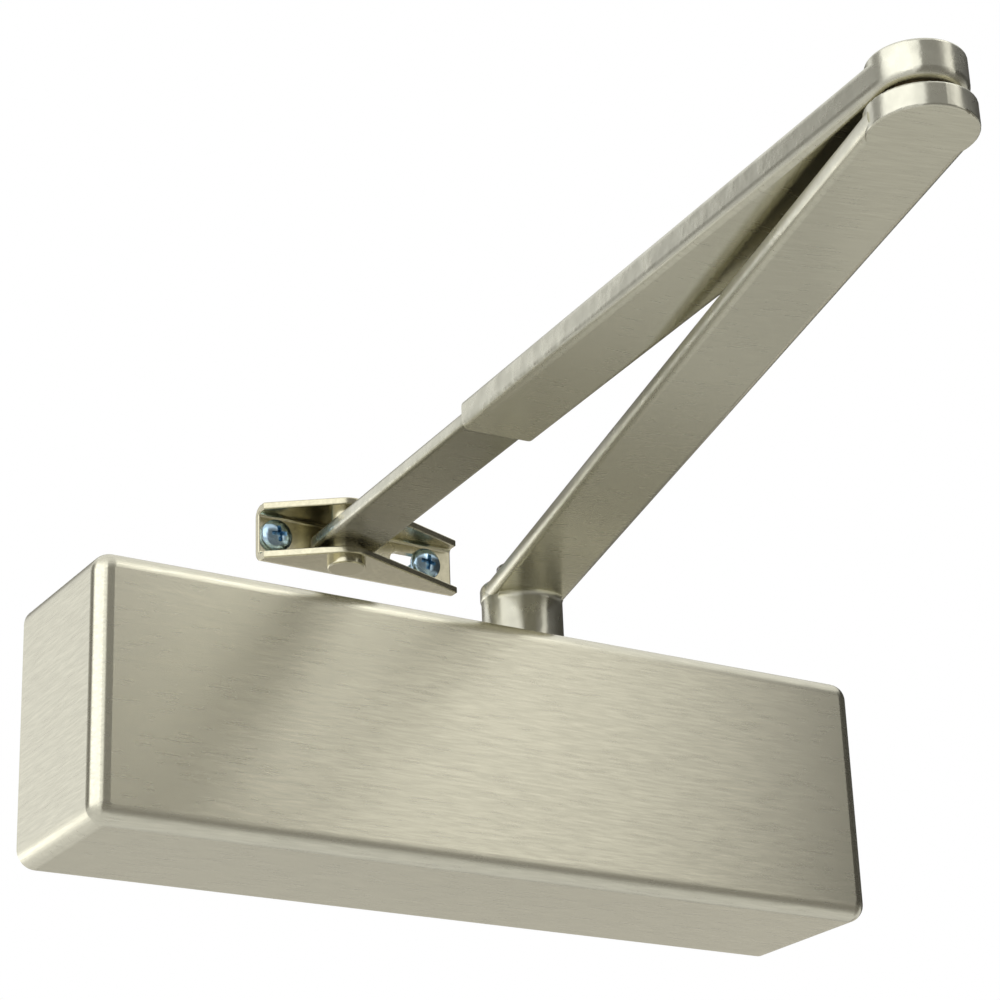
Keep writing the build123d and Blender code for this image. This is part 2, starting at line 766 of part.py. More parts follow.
# Hollow fillet between the arm's hub and the flat of its underside
with BuildPart() as hub_root:
    with BuildSketch(arm_section):
        with Locations((hub_radius - hub_fillet_bite, -hub_fillet)):
            Rectangle(hub_fillet + hub_fillet_bite, hub_fillet + hub_fillet_bite, align=(Align.MIN, Align.MIN))
        with Locations((hub_radius + hub_fillet, -hub_fillet)):
            Circle(hub_fillet, mode=Mode.SUBTRACT)
    revolve(axis=Axis((spindle_x, -spindle_to_door, 0), (0, 0, 1)))
    with BuildSketch(on_arm(arm_bottom - hub_fillet)):
        Polygon(
            (0, arm_edge_radius - arm_hub_half_width),
            (arm_centres, arm_edge_radius - arm_elbow_half_width),
            (arm_centres, arm_elbow_half_width - arm_edge_radius),
            (0, arm_hub_half_width - arm_edge_radius),
            align=None,
        )
    extrude(amount=hub_fillet + hub_fillet_bite, mode=Mode.INTERSECT)

# Main arm: a flat bar with rounded long edges between a round end over the hub and a raised round end at the
# elbow. The hub fits the spindle's square.
elbow_boss_plane = Plane(origin=(elbow_x, elbow_y, arm_bottom), x_dir=arm_direction, z_dir=(0, 0, 1))
with BuildPart() as main_arm:
    with BuildSketch(on_arm(arm_bottom)):
        Polygon(
            (0, -arm_hub_half_width),
            (arm_centres, -arm_elbow_half_width),
            (arm_centres, arm_elbow_half_width),
            (0, arm_hub_half_width),
            align=None,
        )
    extrude(amount=arm_thickness)
    fillet(main_arm.edges().sort_by(SortBy.LENGTH)[-4:], radius=arm_edge_radius)
    add(rounded_disc(on_arm(arm_bottom), arm_hub_end_radius, arm_thickness, arm_hub_end_edge))
    add(rounded_disc(elbow_boss_plane, elbow_boss_radius, elbow_boss_top - arm_bottom, elbow_boss_edge))
    with BuildSketch(on_arm(hub_bottom)):
        Circle(hub_radius)
    extrude(amount=hub_height + arm_edge_radius)
    add(hub_root.part)
    with BuildSketch(on_arm(hub_bottom)):
        Rectangle(square_size + 2 * square_play, square_size + 2 * square_play)
    extrude(amount=spindle_top - hub_bottom, mode=Mode.SUBTRACT)
    with BuildSketch(on_arm(spindle_top)):
        Circle(arm_screw_radius + running_fit)
    extrude(amount=arm_web, mode=Mode.SUBTRACT)
    with BuildSketch(on_arm(elbow_boss_top)):
        with Locations((arm_centres, 0)):
            Circle(elbow_pin_radius + seat_fit)
    extrude(amount=-elbow_pin_depth, mode=Mode.SUBTRACT)
main_arm.part.label = "main_arm"
export_step(main_arm.part, "parts/main_arm.step")

arm_washer = ring(
    on_spindle(arm_top),
    arm_washer_radius,
    arm_screw_radius + running_fit,
    arm_washer_thickness,
)
arm_washer.label = "arm_washer"
export_step(arm_washer, "parts/arm_washer.step")

arm_head_seat = arm_top + arm_washer_thickness
with BuildPart() as arm_screw:
    with BuildSketch(on_spindle(arm_head_seat)):
        Circle(arm_screw_head_radius)
    extrude(amount=arm_screw_head_height)
    with BuildSketch(on_spindle(arm_head_seat, -1)):
        Circle(arm_screw_radius)
    extrude(amount=arm_head_seat - spindle_top + arm_screw_depth - seal_fit)
    with BuildSketch(on_spindle(arm_head_seat + arm_screw_head_height, -1)):
        RegularPolygon(arm_screw_socket / 2, 6, major_radius=False)
    extrude(amount=arm_screw_socket_depth, mode=Mode.SUBTRACT)
arm_screw.part.label = "arm_screw"
export_step(arm_screw.part, "parts/arm_screw.step")

# Elbow: a shouldered pin from above, a washer on the main arm and a flanged bush in the sleeve
elbow_bush_radius = elbow_pin_radius + running_fit + elbow_bush_wall
elbow_washer = ring(
    on_forearm(elbow_boss_top),
    elbow_washer_radius,
    elbow_pin_radius + running_fit,
    elbow_washer_thickness,
)
elbow_washer.label = "elbow_washer"
export_step(elbow_washer, "parts/elbow_washer.step")

with BuildPart() as elbow_bush:
    with BuildSketch(on_forearm(sleeve_bottom)):
        Circle(elbow_flange_radius)
    extrude(amount=-elbow_flange_thickness)
    with BuildSketch(on_forearm(sleeve_bottom)):
        Circle(elbow_bush_radius)
    extrude(amount=elbow_pocket_floor - sleeve_bottom)
    with BuildSketch(on_forearm(sleeve_bottom - elbow_flange_thickness)):
        Circle(elbow_pin_radius + running_fit)
    extrude(amount=elbow_pocket_floor - sleeve_bottom + elbow_flange_thickness, mode=Mode.SUBTRACT)
elbow_bush.part.label = "elbow_bush"
export_step(elbow_bush.part, "parts/elbow_bush.step")

with BuildPart() as elbow_pin:
    with BuildSketch(on_forearm(elbow_boss_top - elbow_pin_depth)):
        Circle(elbow_pin_radius)
    extrude(amount=head_top - elbow_boss_top + elbow_pin_depth)
    with BuildSketch(on_forearm(head_top)):
        Circle(elbow_head_radius)
    extrude(amount=-elbow_head_height)
    with BuildSketch(on_forearm(head_top)):
        RegularPolygon(elbow_socket / 2, 6, major_radius=False)
    extrude(amount=-elbow_socket_depth, mode=Mode.SUBTRACT)
elbow_pin.part.label = "elbow_pin"
export_step(elbow_pin.part, "parts/elbow_pin.step")

# Forearm sleeve: round and solid at the elbow, hollow for the bar, with a clamp boss on top
clamp_reach = sleeve_reach - clamp_inset
with BuildPart() as forearm_sleeve:
    with BuildSketch(on_forearm(sleeve_bottom)):
        Circle(sleeve_width / 2)
        with Locations((sleeve_reach / 2, 0)):
            Rectangle(sleeve_reach, sleeve_width)
    extrude(amount=sleeve_height)
    lying_edges = forearm_sleeve.edges().filter_by(Axis.Z, reverse=True)
    long_edges = lying_edges.filter_by(forearm_across, reverse=True).group_by(Axis.Z)
    fillet(long_edges[-1], radius=sleeve_edge_radius)
    fillet(long_edges[0], radius=sleeve_lower_edge_radius)
    with BuildSketch(on_forearm(sleeve_top - sleeve_edge_radius)):
        Circle(sleeve_width / 2)
    extrude(amount=head_rise + sleeve_edge_radius)
    fillet(forearm_sleeve.faces().sort_by(Axis.Z)[-1].edges(), radius=head_edge_radius)
    with BuildSketch(on_forearm(sleeve_top - sleeve_roof)):
        with Locations((clamp_reach, 0)):
            Circle(clamp_boss_radius)
    extrude(amount=clamp_boss_height + sleeve_roof)
    with BuildSketch(on_forearm(bar_bottom - bar_play)):
        with Locations(((sleeve_solid + sleeve_reach) / 2, 0)):
            Rectangle(sleeve_reach - sleeve_solid, bar_width + 2 * bar_play)
    extrude(amount=bar_thickness + 2 * bar_play, mode=Mode.SUBTRACT)
    with BuildSketch(on_forearm(bar_top)):
        with Locations((clamp_reach, 0)):
            Circle(clamp_screw_radius + seat_fit)
    extrude(amount=sleeve_height + clamp_boss_height, mode=Mode.SUBTRACT)
    with BuildSketch(on_forearm(sleeve_bottom)):
        Circle(elbow_bush_radius + seat_fit)
    extrude(amount=sleeve_height, mode=Mode.SUBTRACT)
    with BuildSketch(on_forearm(elbow_pocket_floor)):
        Circle(elbow_head_radius + elbow_head_play)
    extrude(amount=sleeve_height, mode=Mode.SUBTRACT)
forearm_sleeve.part.label = "forearm_sleeve"
export_step(forearm_sleeve.part, "parts/forearm_sleeve.step")

clamp_seat = sleeve_top + clamp_boss_height
with BuildPart() as clamp_screw:
    with BuildSketch(on_forearm(bar_top + seal_fit)):
        with Locations((clamp_reach, 0)):
            Circle(clamp_screw_radius)
    extrude(amount=clamp_seat - bar_top - seal_fit)
    with BuildSketch(on_forearm(clamp_seat)):
        with Locations((clamp_reach, 0)):
            Circle(clamp_head_radius)
    extrude(amount=clamp_head_height)
    with BuildSketch(on_forearm(clamp_seat + clamp_head_height)):
        with Locations((clamp_reach, 0)):
            RegularPolygon(clamp_socket / 2, 6, major_radius=False)
    extrude(amount=-clamp_socket_depth, mode=Mode.SUBTRACT)
clamp_screw.part.label = "clamp_screw"
export_step(clamp_screw.part, "parts/clamp_screw.step")

# Slide bar: runs in the sleeve and turns on the bracket's pin
bar_start = sleeve_reach - bar_overlap
bar_end = forearm_reach + bar_tail
with BuildPart() as slide_bar:
    with BuildSketch(on_forearm(bar_bottom)) as bar_outline:
        with Locations(((bar_start + bar_end) / 2, 0)):
            Rectangle(bar_end - bar_start, bar_width)
        fillet(bar_outline.vertices().group_by(Axis.X)[-1], radius=bar_tail_radius)
        with Locations((forearm_reach, 0)):
            Circle(bracket_pin_radius + running_fit, mode=Mode.SUBTRACT)
    extrude(amount=bar_thickness)
    long_edges = slide_bar.edges().filter_by(Axis((0, 0, 0), forearm_direction))
    fillet(long_edges, radius=bar_edge_radius)
slide_bar.part.label = "slide_bar"
export_step(slide_bar.part, "parts/slide_bar.step")

# Frame bracket: a back plate with two ears that taper to a nose round the pin
bracket_length = bracket_left + bracket_right
bracket_shift = (bracket_right - bracket_left) / 2
plate_front = Plane(
    origin=(pivot_x, pivot_y + pin_to_back - bracket_sheet, bracket_middle),
    x_dir=(1, 0, 0),
    z_dir=(0, -1, 0),
)
with BuildPart() as bracket:
    with BuildSketch(on_bracket(ear_bottom)):
        with Locations((bracket_shift, pin_to_back - bracket_sheet / 2)):
            Rectangle(bracket_length, bracket_sheet)
    extrude(amount=bracket_height)
    for ear_height in (ear_bottom, upper_ear_bottom):
        with BuildSketch(on_bracket(ear_height)):
            with Locations((bracket_shift, pin_to_back - bracket_end_depth / 2)):
                Rectangle(bracket_length, bracket_end_depth)
            Circle(bracket_nose_radius)
            make_hull()
        extrude(amount=bracket_sheet)
    plate_faces = bracket.faces().filter_by(Axis.Y).sort_by(Axis.Y)
    fillet(plate_faces[-1].edges().filter_by(Axis.X), radius=bracket_bend_radius)
    fillet(plate_faces[0].edges().filter_by(Axis.X), radius=bracket_inner_bend_radius)
    ear_faces = bracket.faces().filter_by(Axis.Z).sort_by(Axis.Z)
    fillet(ear_faces.edges().filter_by(Axis.X, reverse=True), radius=bracket_edge_radius)
    with BuildSketch(on_bracket(ear_bottom)):
        Circle(bracket_pin_radius + seat_fit)
    extrude(amount=bracket_height, mode=Mode.SUBTRACT)
    with BuildSketch(plate_front):
        with Locations((-left_screw_offset, 0)):
            Circle(screw_hole_radius)
        with Locations((right_screw_offset - slot_travel / 2, 0)):
            SlotCenterToCenter(slot_travel, 2 * screw_hole_radius)
    extrude(amount=-bracket_sheet, mode=Mode.SUBTRACT)
bracket.part.label = "bracket"
export_step(bracket.part, "parts/bracket.step")

# Rivet through both ears, headed at each end
with BuildPart() as bracket_pin:
    with BuildSketch(on_bracket(ear_bottom - rivet_head_height)):
        Circle(rivet_head_radius)
    extrude(amount=rivet_head_height)
    with BuildSketch(on_bracket(bracket_top)):
        Circle(rivet_top_radius)
    extrude(amount=rivet_top_height)
    rivet_faces = bracket_pin.faces().sort_by(Axis.Z)
    fillet(rivet_faces[0].edges() + rivet_faces[-1].edges(), radius=rivet_edge_radius)
    with BuildSketch(on_bracket(ear_bottom)):
        Circle(bracket_pin_radius)
    extrude(amount=bracket_height)
bracket_pin.part.label = "bracket_pin"
export_step(bracket_pin.part, "parts/bracket_pin.step")

# Spacers on the rivet, below and above the bar
spacers = {
    "lower_spacer": (ear_bottom + bracket_sheet, lower_spacer_height),
    "upper_spacer": (bar_top, upper_spacer_height),
}
for spacer_name, (spacer_bottom, spacer_height) in spacers.items():
    spacer = ring(on_bracket(spacer_bottom), spacer_radius, bracket_pin_radius + running_fit, spacer_height)
    spacer.label = spacer_name
    export_step(spacer, f"parts/{spacer_name}.step")

# Cross-recessed machine screws that fix the bracket to the door frame
with BuildPart() as bracket_screws:
    with BuildSketch(plate_front):
        with Locations((-left_screw_offset, 0), (right_screw_offset, 0)):
            Circle(frame_head_radius)
    extrude(amount=frame_head_height)
    head_front = bracket_screws.faces().sort_by(Axis.Y).filter_by(Plane.XZ).group_by(Axis.Y)[0]
    fillet(head_front.edges(), radius=frame_head_edge)
    with BuildSketch(plate_front):
        with Locations((-left_screw_offset, 0), (right_screw_offset, 0)):
            Circle(screw_hole_radius - frame_neck_play)
    extrude(amount=-(bracket_sheet + frame_neck_reach))
    with BuildSketch(plate_front):
        with Locations((-left_screw_offset, 0), (right_screw_offset, 0)):
            Circle(frame_screw_radius)
    extrude(amount=-(frame_screw_length - frame_screw_point))
    for screw_offset in (-left_screw_offset, right_screw_offset):
        with BuildSketch(plate_front.offset(frame_screw_point - frame_screw_length)):
            with Locations((screw_offset, 0)):
                Circle(frame_screw_radius)
        with BuildSketch(plate_front.offset(-frame_screw_length)):
            with Locations((screw_offset, 0)):
                Circle(frame_screw_tip)
        loft()
    with BuildSketch(plate_front.offset(frame_head_height)):
        with Locations((-left_screw_offset, 0), (right_screw_offset, 0)):
            Rectangle(cross_length, cross_width)
            Rectangle(cross_width, cross_length)
    extrude(amount=-cross_depth, mode=Mode.SUBTRACT)
bracket_screws.part.label = "bracket_screws"
export_step(bracket_screws.part, "parts/bracket_screws.step")
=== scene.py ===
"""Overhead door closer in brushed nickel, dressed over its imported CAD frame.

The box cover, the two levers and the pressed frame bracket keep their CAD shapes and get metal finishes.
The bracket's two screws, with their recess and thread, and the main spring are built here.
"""

import logging
import math
from dataclasses import dataclass, field
from enum import Enum

import bmesh
import bpy
from mathutils import Matrix, Vector


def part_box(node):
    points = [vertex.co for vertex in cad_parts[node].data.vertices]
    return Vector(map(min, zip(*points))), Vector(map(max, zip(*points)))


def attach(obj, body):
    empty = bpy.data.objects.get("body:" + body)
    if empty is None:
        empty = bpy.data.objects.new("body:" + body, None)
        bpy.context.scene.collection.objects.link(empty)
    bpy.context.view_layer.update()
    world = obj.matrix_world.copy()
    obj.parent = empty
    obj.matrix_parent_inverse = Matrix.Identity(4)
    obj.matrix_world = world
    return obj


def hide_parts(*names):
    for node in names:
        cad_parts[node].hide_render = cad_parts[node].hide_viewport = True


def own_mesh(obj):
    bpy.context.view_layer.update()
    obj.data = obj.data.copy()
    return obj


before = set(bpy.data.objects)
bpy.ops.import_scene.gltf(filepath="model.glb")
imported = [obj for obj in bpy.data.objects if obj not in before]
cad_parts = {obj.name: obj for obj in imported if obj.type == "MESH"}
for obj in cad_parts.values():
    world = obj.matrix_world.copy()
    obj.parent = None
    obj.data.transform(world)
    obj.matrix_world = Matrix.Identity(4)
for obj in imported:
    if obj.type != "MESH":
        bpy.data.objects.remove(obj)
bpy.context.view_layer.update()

LOG = logging.getLogger("door_closer")
Pair = tuple[float, float]
Triple = tuple[float, float, float]
Colour = Triple
Point = Triple
Socket = bpy.types.NodeSocket

# Plate and metal colours, linear, and how much darker the bar's ground faces are painted than the other
# levers: painted shade for the darker surroundings its underside reflects
NICKEL: Colour = (0.66, 0.64, 0.52)
LEVER_NICKEL: Colour = (0.58, 0.56, 0.44)
POLISHED_NICKEL: Colour = (0.64, 0.63, 0.53)
PRESSED_NICKEL: Colour = (0.56, 0.53, 0.39)
STEEL: Colour = (0.56, 0.56, 0.56)
ZINC: Colour = (0.44, 0.60, 0.72)
BAR_PAINTED_SHADE = 0.62

# A point on each axis that something turns or was turned on, in metres
SPINDLE_AXIS: Point = (0.0205, -0.0227, 0.0)
ELBOW_AXIS: Point = (-0.04238, -0.267245, 0.0)
CLAMP_AXIS: Point = (-0.03432, -0.11086, 0.0)
RIVET_AXIS: Point = (-0.029431, -0.015979, 0.0)
BORE_AXIS: Point = (0.0, -0.0227, 0.0)
VALVE_AXIS: Point = (0.0, -0.03616, 0.0185)

# Height of the main arm's underside and radius of the pinion that moves the piston, in metres
ARM_UNDERSIDE = 0.04903
PINION_RADIUS = 0.009

# Points of a turned or a wound shape that are closer than this become one, in metres
LATHE_WELD = 1e-7
COIL_WELD = 1e-6

# Cosines between which a face starts to count as looking along the lay, or as lying flat
END_FACING: Pair = (0.6, 0.8)
FLAT_FACING: Pair = (0.5, 0.8)

# Part of a noise's range that becomes the whole range of a tone or a roughness
NOISE_SPAN: Pair = (0.3, 0.7)
SKIN_SPAN: Pair = (0.35, 0.65)

# The shader counts its rotation in whole turns
QUARTER_TURN = 0.25

UNTURNED: Triple = (0.0, 0.0, 0.0)
WHITE = (1.0, 1.0, 1.0, 1.0)


class Lay(Enum):
    """Which way the grinding lines of a brushed face run, as degrees from X towards Y."""

    ALONG_COVER = 0.0
    ACROSS_ARM = -14.42
    ACROSS_FOREARM = -2.95


class Mixed(Enum):
    """What a mix node blends: Blender's name for it, and the numbers of its first input and of its output."""

    NUMBER = ("FLOAT", 2, 0)
    DIRECTION = ("VECTOR", 4, 1)
    TINT = ("RGBA", 6, 2)


class TurnAxis(Enum):
    """The axis that a turned piece was held on in the lathe, with its number."""

    X = 0
    Y = 1
    Z = 2


# Finishes


@dataclass
class NodeSheet:
    """The node tree of a material or a world, with short calls for the nodes that the finishes share."""

    owner: bpy.types.Material | bpy.types.World

    @classmethod
    def new(cls, name: str) -> "NodeSheet":
        """Starts an empty material of that name, with its shader and output joined."""
        sheet = cls(bpy.data.materials.new(name))
        sheet.owner.use_nodes = True
        return sheet

    @property
    def tree(self) -> bpy.types.NodeTree:
        """The node tree itself."""
        return self.owner.node_tree

    def find(self, kind: str) -> bpy.types.Node:
        """The first node of a kind that the tree holds."""
        return next(n for n in self.tree.nodes if n.type == kind)

    @property
    def shader(self) -> bpy.types.Node:
        """The material's surface shader."""
        return self.find("BSDF_PRINCIPLED")

    def add(self, kind: str, **values: object) -> bpy.types.Node:
        """Adds a node.

        Args:
            kind: Blender's name for the node type.
            **values: Properties of the node by their names.

        Returns:
            The new node.
        """
        node = self.tree.nodes.new(kind)
        for key, value in values.items():
            setattr(node, key, value)
        return node

    def feed(self, node: bpy.types.Node, socket: str | int, value: object) -> None:
        """Sets an input to a value, or joins it where the value is another node's output.

        Args:
            node: The node that takes the value.
            socket: The input's name or number.
            value: A number, a colour or an output socket.
        """
        if isinstance(value, Socket):
            self.tree.links.new(value, node.inputs[socket])
        else:
            node.inputs[socket].default_value = value

    def place(self) -> Socket:
        """Object coordinates, which are the row frame in metres."""
        return self.add("ShaderNodeTexCoord").outputs["Object"]

    def mapped(self, turn: Triple, scale: Triple) -> Socket:
        """Object coordinates turned and then stretched.

        Args:
            turn: Rotation of the coordinates in degrees.
            scale: Pattern cycles per metre along each turned axis.

        Returns:
            The mapped coordinates.
        """
        turned = self.add("ShaderNodeMapping")
        self.feed(turned, "Vector", self.place())
        self.feed(turned, "Rotation", tuple(math.radians(a) for a in turn))
        stretched = self.add("ShaderNodeMapping")
        self.feed(stretched, "Vector", turned.outputs[0])
        self.feed(stretched, "Scale", scale)
        return stretched.outputs[0]

    def noise(self, vector: Socket, detail: float, rough: float = 0.5) -> Socket:
        """A noise value from 0 to 1 over the given coordinates.

        Args:
            vector: The coordinates, already in pattern cycles.
            detail: Number of finer layers.
            rough: Weight of the finer layers.

        Returns:
            The noise value.
        """
        node = self.add("ShaderNodeTexNoise")
        self.feed(node, "Vector", vector)
        self.feed(node, "Scale", 1.0)
        self.feed(node, "Detail", detail)
        self.feed(node, "Roughness", rough)
        return node.outputs[0]

    def span(self, value: Socket, low: float, high: float, start: float = 0.25,
             end: float = 0.75) -> Socket:
        """Moves a value from one range to another.

        Args:
            value: The value to move.
            low: What start becomes.
            high: What end becomes.
            start: Low end of the incoming range.
            end: High end of the incoming range.

        Returns:
            The moved value, held inside the new range.
        """
        node = self.add("ShaderNodeMapRange")
        ends = {"From Min": start, "From Max": end, "To Min": low, "To Max": high}
        for socket, number in {"Value": value, **ends}.items():
            self.feed(node, socket, number)
        return node.outputs[0]

    def either_side(self, value: Socket, middle: float, by: float) -> Socket:
        """A number that goes from above its middle to below it as a pattern rises.

        Args:
            value: The pattern.
            middle: The number's middle.
            by: How far it goes either way.

        Returns:
            The number.
        """
        return self.span(value, middle + by, middle - by, *NOISE_SPAN)

    def sums(self, operation: str, a: object, b: object) -> Socket:
        """One step of arithmetic on two values.

        Args:
            operation: Blender's name for the step.
            a: First value.
            b: Second value.

        Returns:
            The result.
        """
        node = self.add("ShaderNodeMath", operation=operation)
        self.feed(node, 0, a)
        self.feed(node, 1, b)
        return node.outputs[0]

    def weigh(self, a: Socket, b: Socket, share: float) -> Socket:
        """The sum of two patterns.

        Args:
            a: First pattern.
            b: Second pattern.
            share: Weight of the first, where both weights add up to 1.

        Returns:
            The weighted sum.
        """
        return self.sums("ADD", self.sums("MULTIPLY", a, share), self.sums("MULTIPLY", b, 1.0 - share))

    def tones(self, value: Socket, tint: Colour, contrast: float) -> Socket:
        """A colour that gets lighter with a pattern.

        Args:
            value: 0 where it is darkest, 1 where it is lightest.
            tint: Linear colour in the middle.
            contrast: How far it goes either way.

        Returns:
            The colour.
        """
        ramp = self.add("ShaderNodeValToRGB")
        ramp.color_ramp.elements[0].color = (*shade(tint, 1 - contrast), 1.0)
        ramp.color_ramp.elements[1].color = (*shade(tint, 1 + contrast), 1.0)
        self.feed(ramp, 0, value)
        return ramp.outputs[0]

    def relief(self, height: Socket) -> None:
        """Bumps the surface by a height field in metres."""
        bump = self.add("ShaderNodeBump")
        self.feed(bump, "Height", height)
        self.feed(bump, "Distance", 1.0)
        self.feed(bump, "Strength", 1.0)
        self.feed(self.shader, "Normal", bump.outputs[0])

    def facing(self, way: Triple) -> Socket:
        """How squarely a face looks along a direction or against it, from 0 to 1.

        Args:
            way: The direction, one unit long.

        Returns:
            The absolute cosine between the face's normal and that direction.
        """
        dot = self.add("ShaderNodeVectorMath", operation="DOT_PRODUCT")
        self.feed(dot, 0, self.add("ShaderNodeNewGeometry").outputs["True Normal"])
        self.feed(dot, 1, way)
        return self.sums("ABSOLUTE", dot.outputs["Value"], 0.0)

    def blend(self, share: Socket, a: object, b: object, kind: Mixed = Mixed.NUMBER) -> Socket:
        """What goes from a to b as share goes from 0 to 1.

        Args:
            share: Where it is between the two.
            a: What it is at 0.
            b: What it is at 1.
            kind: Whether they are numbers, directions or colours.

        Returns:
            The blended value.
        """
        data_type, first_input, output = kind.value
        node = self.add("ShaderNodeMix", data_type=data_type)
        self.feed(node, 0, share)
        self.feed(node, first_input, a)
        self.feed(node, first_input + 1, b)
        return node.outputs[output]


def shade(colour: Colour, factor: float) -> Colour:
    """The colour made lighter or darker by a factor."""
    return tuple(min(1.0, c * factor) for c in colour)


@dataclass(frozen=True)
class Brushed:
    """Nickel plate over lines ground one way, finer and coarser, with faint cloudy patches.

    Attributes:
        name: Material name.
        tint: Linear colour of the plate.
        lay: Heading of the grinding lines.
        roughness: Middle roughness.
        contrast: How strongly the lines change the tone.
        depth: Depth of the lines in metres.
        anisotropy: How far a highlight stretches across the lines.
        wall_roughness: Roughness of faces that stand upright, which are polished and not ground.
        wall_tint: Linear colour of those faces.
        wall_depth: Depth of the shallow dents that the polishing leaves, in metres.
        wall_contrast: How strongly the dents change the tone.
        polished_below: Height under which everything is polished, in metres.
        polish_edge: Height over which the polish gives way to the lines there, in metres.
        spread: How far the roughness goes either way on the lines.
        wall_spread: The same on the dents.
        fine: Cycles per metre of the fine lines, along and across them.
        broad: The same for the broad lines.
        cloud: The same for the cloudy patches.
        dents: Cycles per metre of the dents.
        fine_share: Weight of the fine lines beside the broad ones.
        line_share: Weight of all the lines beside the cloudy patches.
    """

    name: str
    tint: Colour
    lay: Lay
    roughness: float = 0.26
    contrast: float = 0.12
    depth: float = 0.0000004
    anisotropy: float = 0.92
    wall_roughness: float | None = None
    wall_tint: Colour = POLISHED_NICKEL
    wall_depth: float = 0.00012
    wall_contrast: float = 0.07
    polished_below: float = -1.0
    polish_edge: float = 0.0002
    spread: float = 0.02
    wall_spread: float = 0.04
    fine: Pair = (150.0, 1900.0)
    broad: Pair = (60.0, 1100.0)
    cloud: Pair = (14.0, 22.0)
    dents: float = 190.0
    fine_share: float = 0.65
    line_share: float = 0.85

    @property
    def turn(self) -> Triple:
        """Rotation that brings the lay on to X, in degrees."""
        return (0.0, 0.0, -self.lay.value)

    @property
    def along(self) -> Triple:
        """Direction of the lay."""
        a = math.radians(self.lay.value)
        return (math.cos(a), math.sin(a), 0.0)

    @property
    def across(self) -> Triple:
        """Level direction square to the lay."""
        a = math.radians(self.lay.value)
        return (-math.sin(a), math.cos(a), 0.0)

    def ground(self, sheet: NodeSheet, end_on: Socket, cycles: Pair, detail: float) -> Socket:
        """Lines that keep to the lay, and run across the faces that look along it.

        Args:
            sheet: The material in the making.
            end_on: 1 where a face looks along the lay.
            cycles: Cycles per metre along and across the lines.
            detail: Number of finer layers.

        Returns:
            The pattern, from 0 to 1.
        """
        along, across = cycles
        sides = sheet.noise(sheet.mapped(self.turn, (along, across, across)), detail)
        ends = sheet.noise(sheet.mapped(self.turn, (across, along, across)), detail)
        return sheet.blend(end_on, sides, ends)

    def material(self) -> bpy.types.Material:
        """Builds the finish."""
        sheet = NodeSheet.new(self.name)
        end_on = sheet.span(sheet.facing(self.along), 0.0, 1.0, *END_FACING)
        fine = self.ground(sheet, end_on, self.fine, detail=1.0)
        broad = self.ground(sheet, end_on, self.broad, detail=2.0)
        along, across = self.cloud
        cloud = sheet.noise(sheet.mapped(self.turn, (along, across, across)), detail=3.0)
        lines = sheet.weigh(fine, broad, self.fine_share)
        tone = sheet.span(sheet.weigh(lines, cloud, self.line_share), 0.0, 1.0)
        plate = sheet.tones(tone, self.tint, self.contrast)
        rough = sheet.either_side(lines, self.roughness, self.spread)
        height = sheet.sums("MULTIPLY", lines, self.depth)
        if self.wall_roughness is not None:
            wall = self.polished(sheet)
            dents = sheet.noise(sheet.mapped(self.turn, (self.dents,) * 3), detail=3.0)
            bright = sheet.tones(sheet.span(dents, 0.0, 1.0, *NOISE_SPAN), self.wall_tint, self.wall_contrast)
            plate = sheet.blend(wall, plate, bright, Mixed.TINT)
            rough = sheet.blend(wall, rough, sheet.either_side(dents, self.wall_roughness, self.wall_spread))
            height = sheet.blend(wall, height, sheet.sums("MULTIPLY", dents, self.wall_depth))
        shader = sheet.shader
        sheet.feed(shader, "Base Color", plate)
        sheet.feed(shader, "Metallic", 1.0)
        sheet.feed(shader, "Roughness", rough)
        sheet.feed(shader, "Anisotropic", self.anisotropy)
        sheet.feed(shader, "Anisotropic Rotation", QUARTER_TURN)
        sheet.feed(shader, "Tangent", self.run(sheet, end_on))
        sheet.relief(height)
        return sheet.owner

    def run(self, sheet: NodeSheet, end_on: Socket) -> Socket:
        """The direction that the grinding lines run in, which turns with the piece.

        Args:
            sheet: The material in the making.
            end_on: 1 where a face looks along the lay, so that the lines run across it there.

        Returns:
            The direction in world space.
        """
        turned = sheet.add("ShaderNodeVectorTransform", vector_type="VECTOR")
        turned.convert_from = "OBJECT"
        turned.convert_to = "WORLD"
        sheet.feed(turned, 0, sheet.blend(end_on, self.along, self.across, Mixed.DIRECTION))
        return turned.outputs[0]

    def polished(self, sheet: NodeSheet) -> Socket:
        """Where the piece is polished: on upright walls, and under the given height.

        Args:
            sheet: The material in the making.

        Returns:
            1 where it is polished and 0 where it is ground.
        """
        upright = sheet.span(sheet.facing((0.0, 0.0, 1.0)), 1.0, 0.0, *FLAT_FACING)
        apart = sheet.add("ShaderNodeSeparateXYZ")
        sheet.feed(apart, 0, sheet.place())
        fully = self.polished_below - self.polish_edge
        low = sheet.span(apart.outputs[2], 1.0, 0.0, fully, self.polished_below)
        return sheet.sums("MAXIMUM", upright, low)


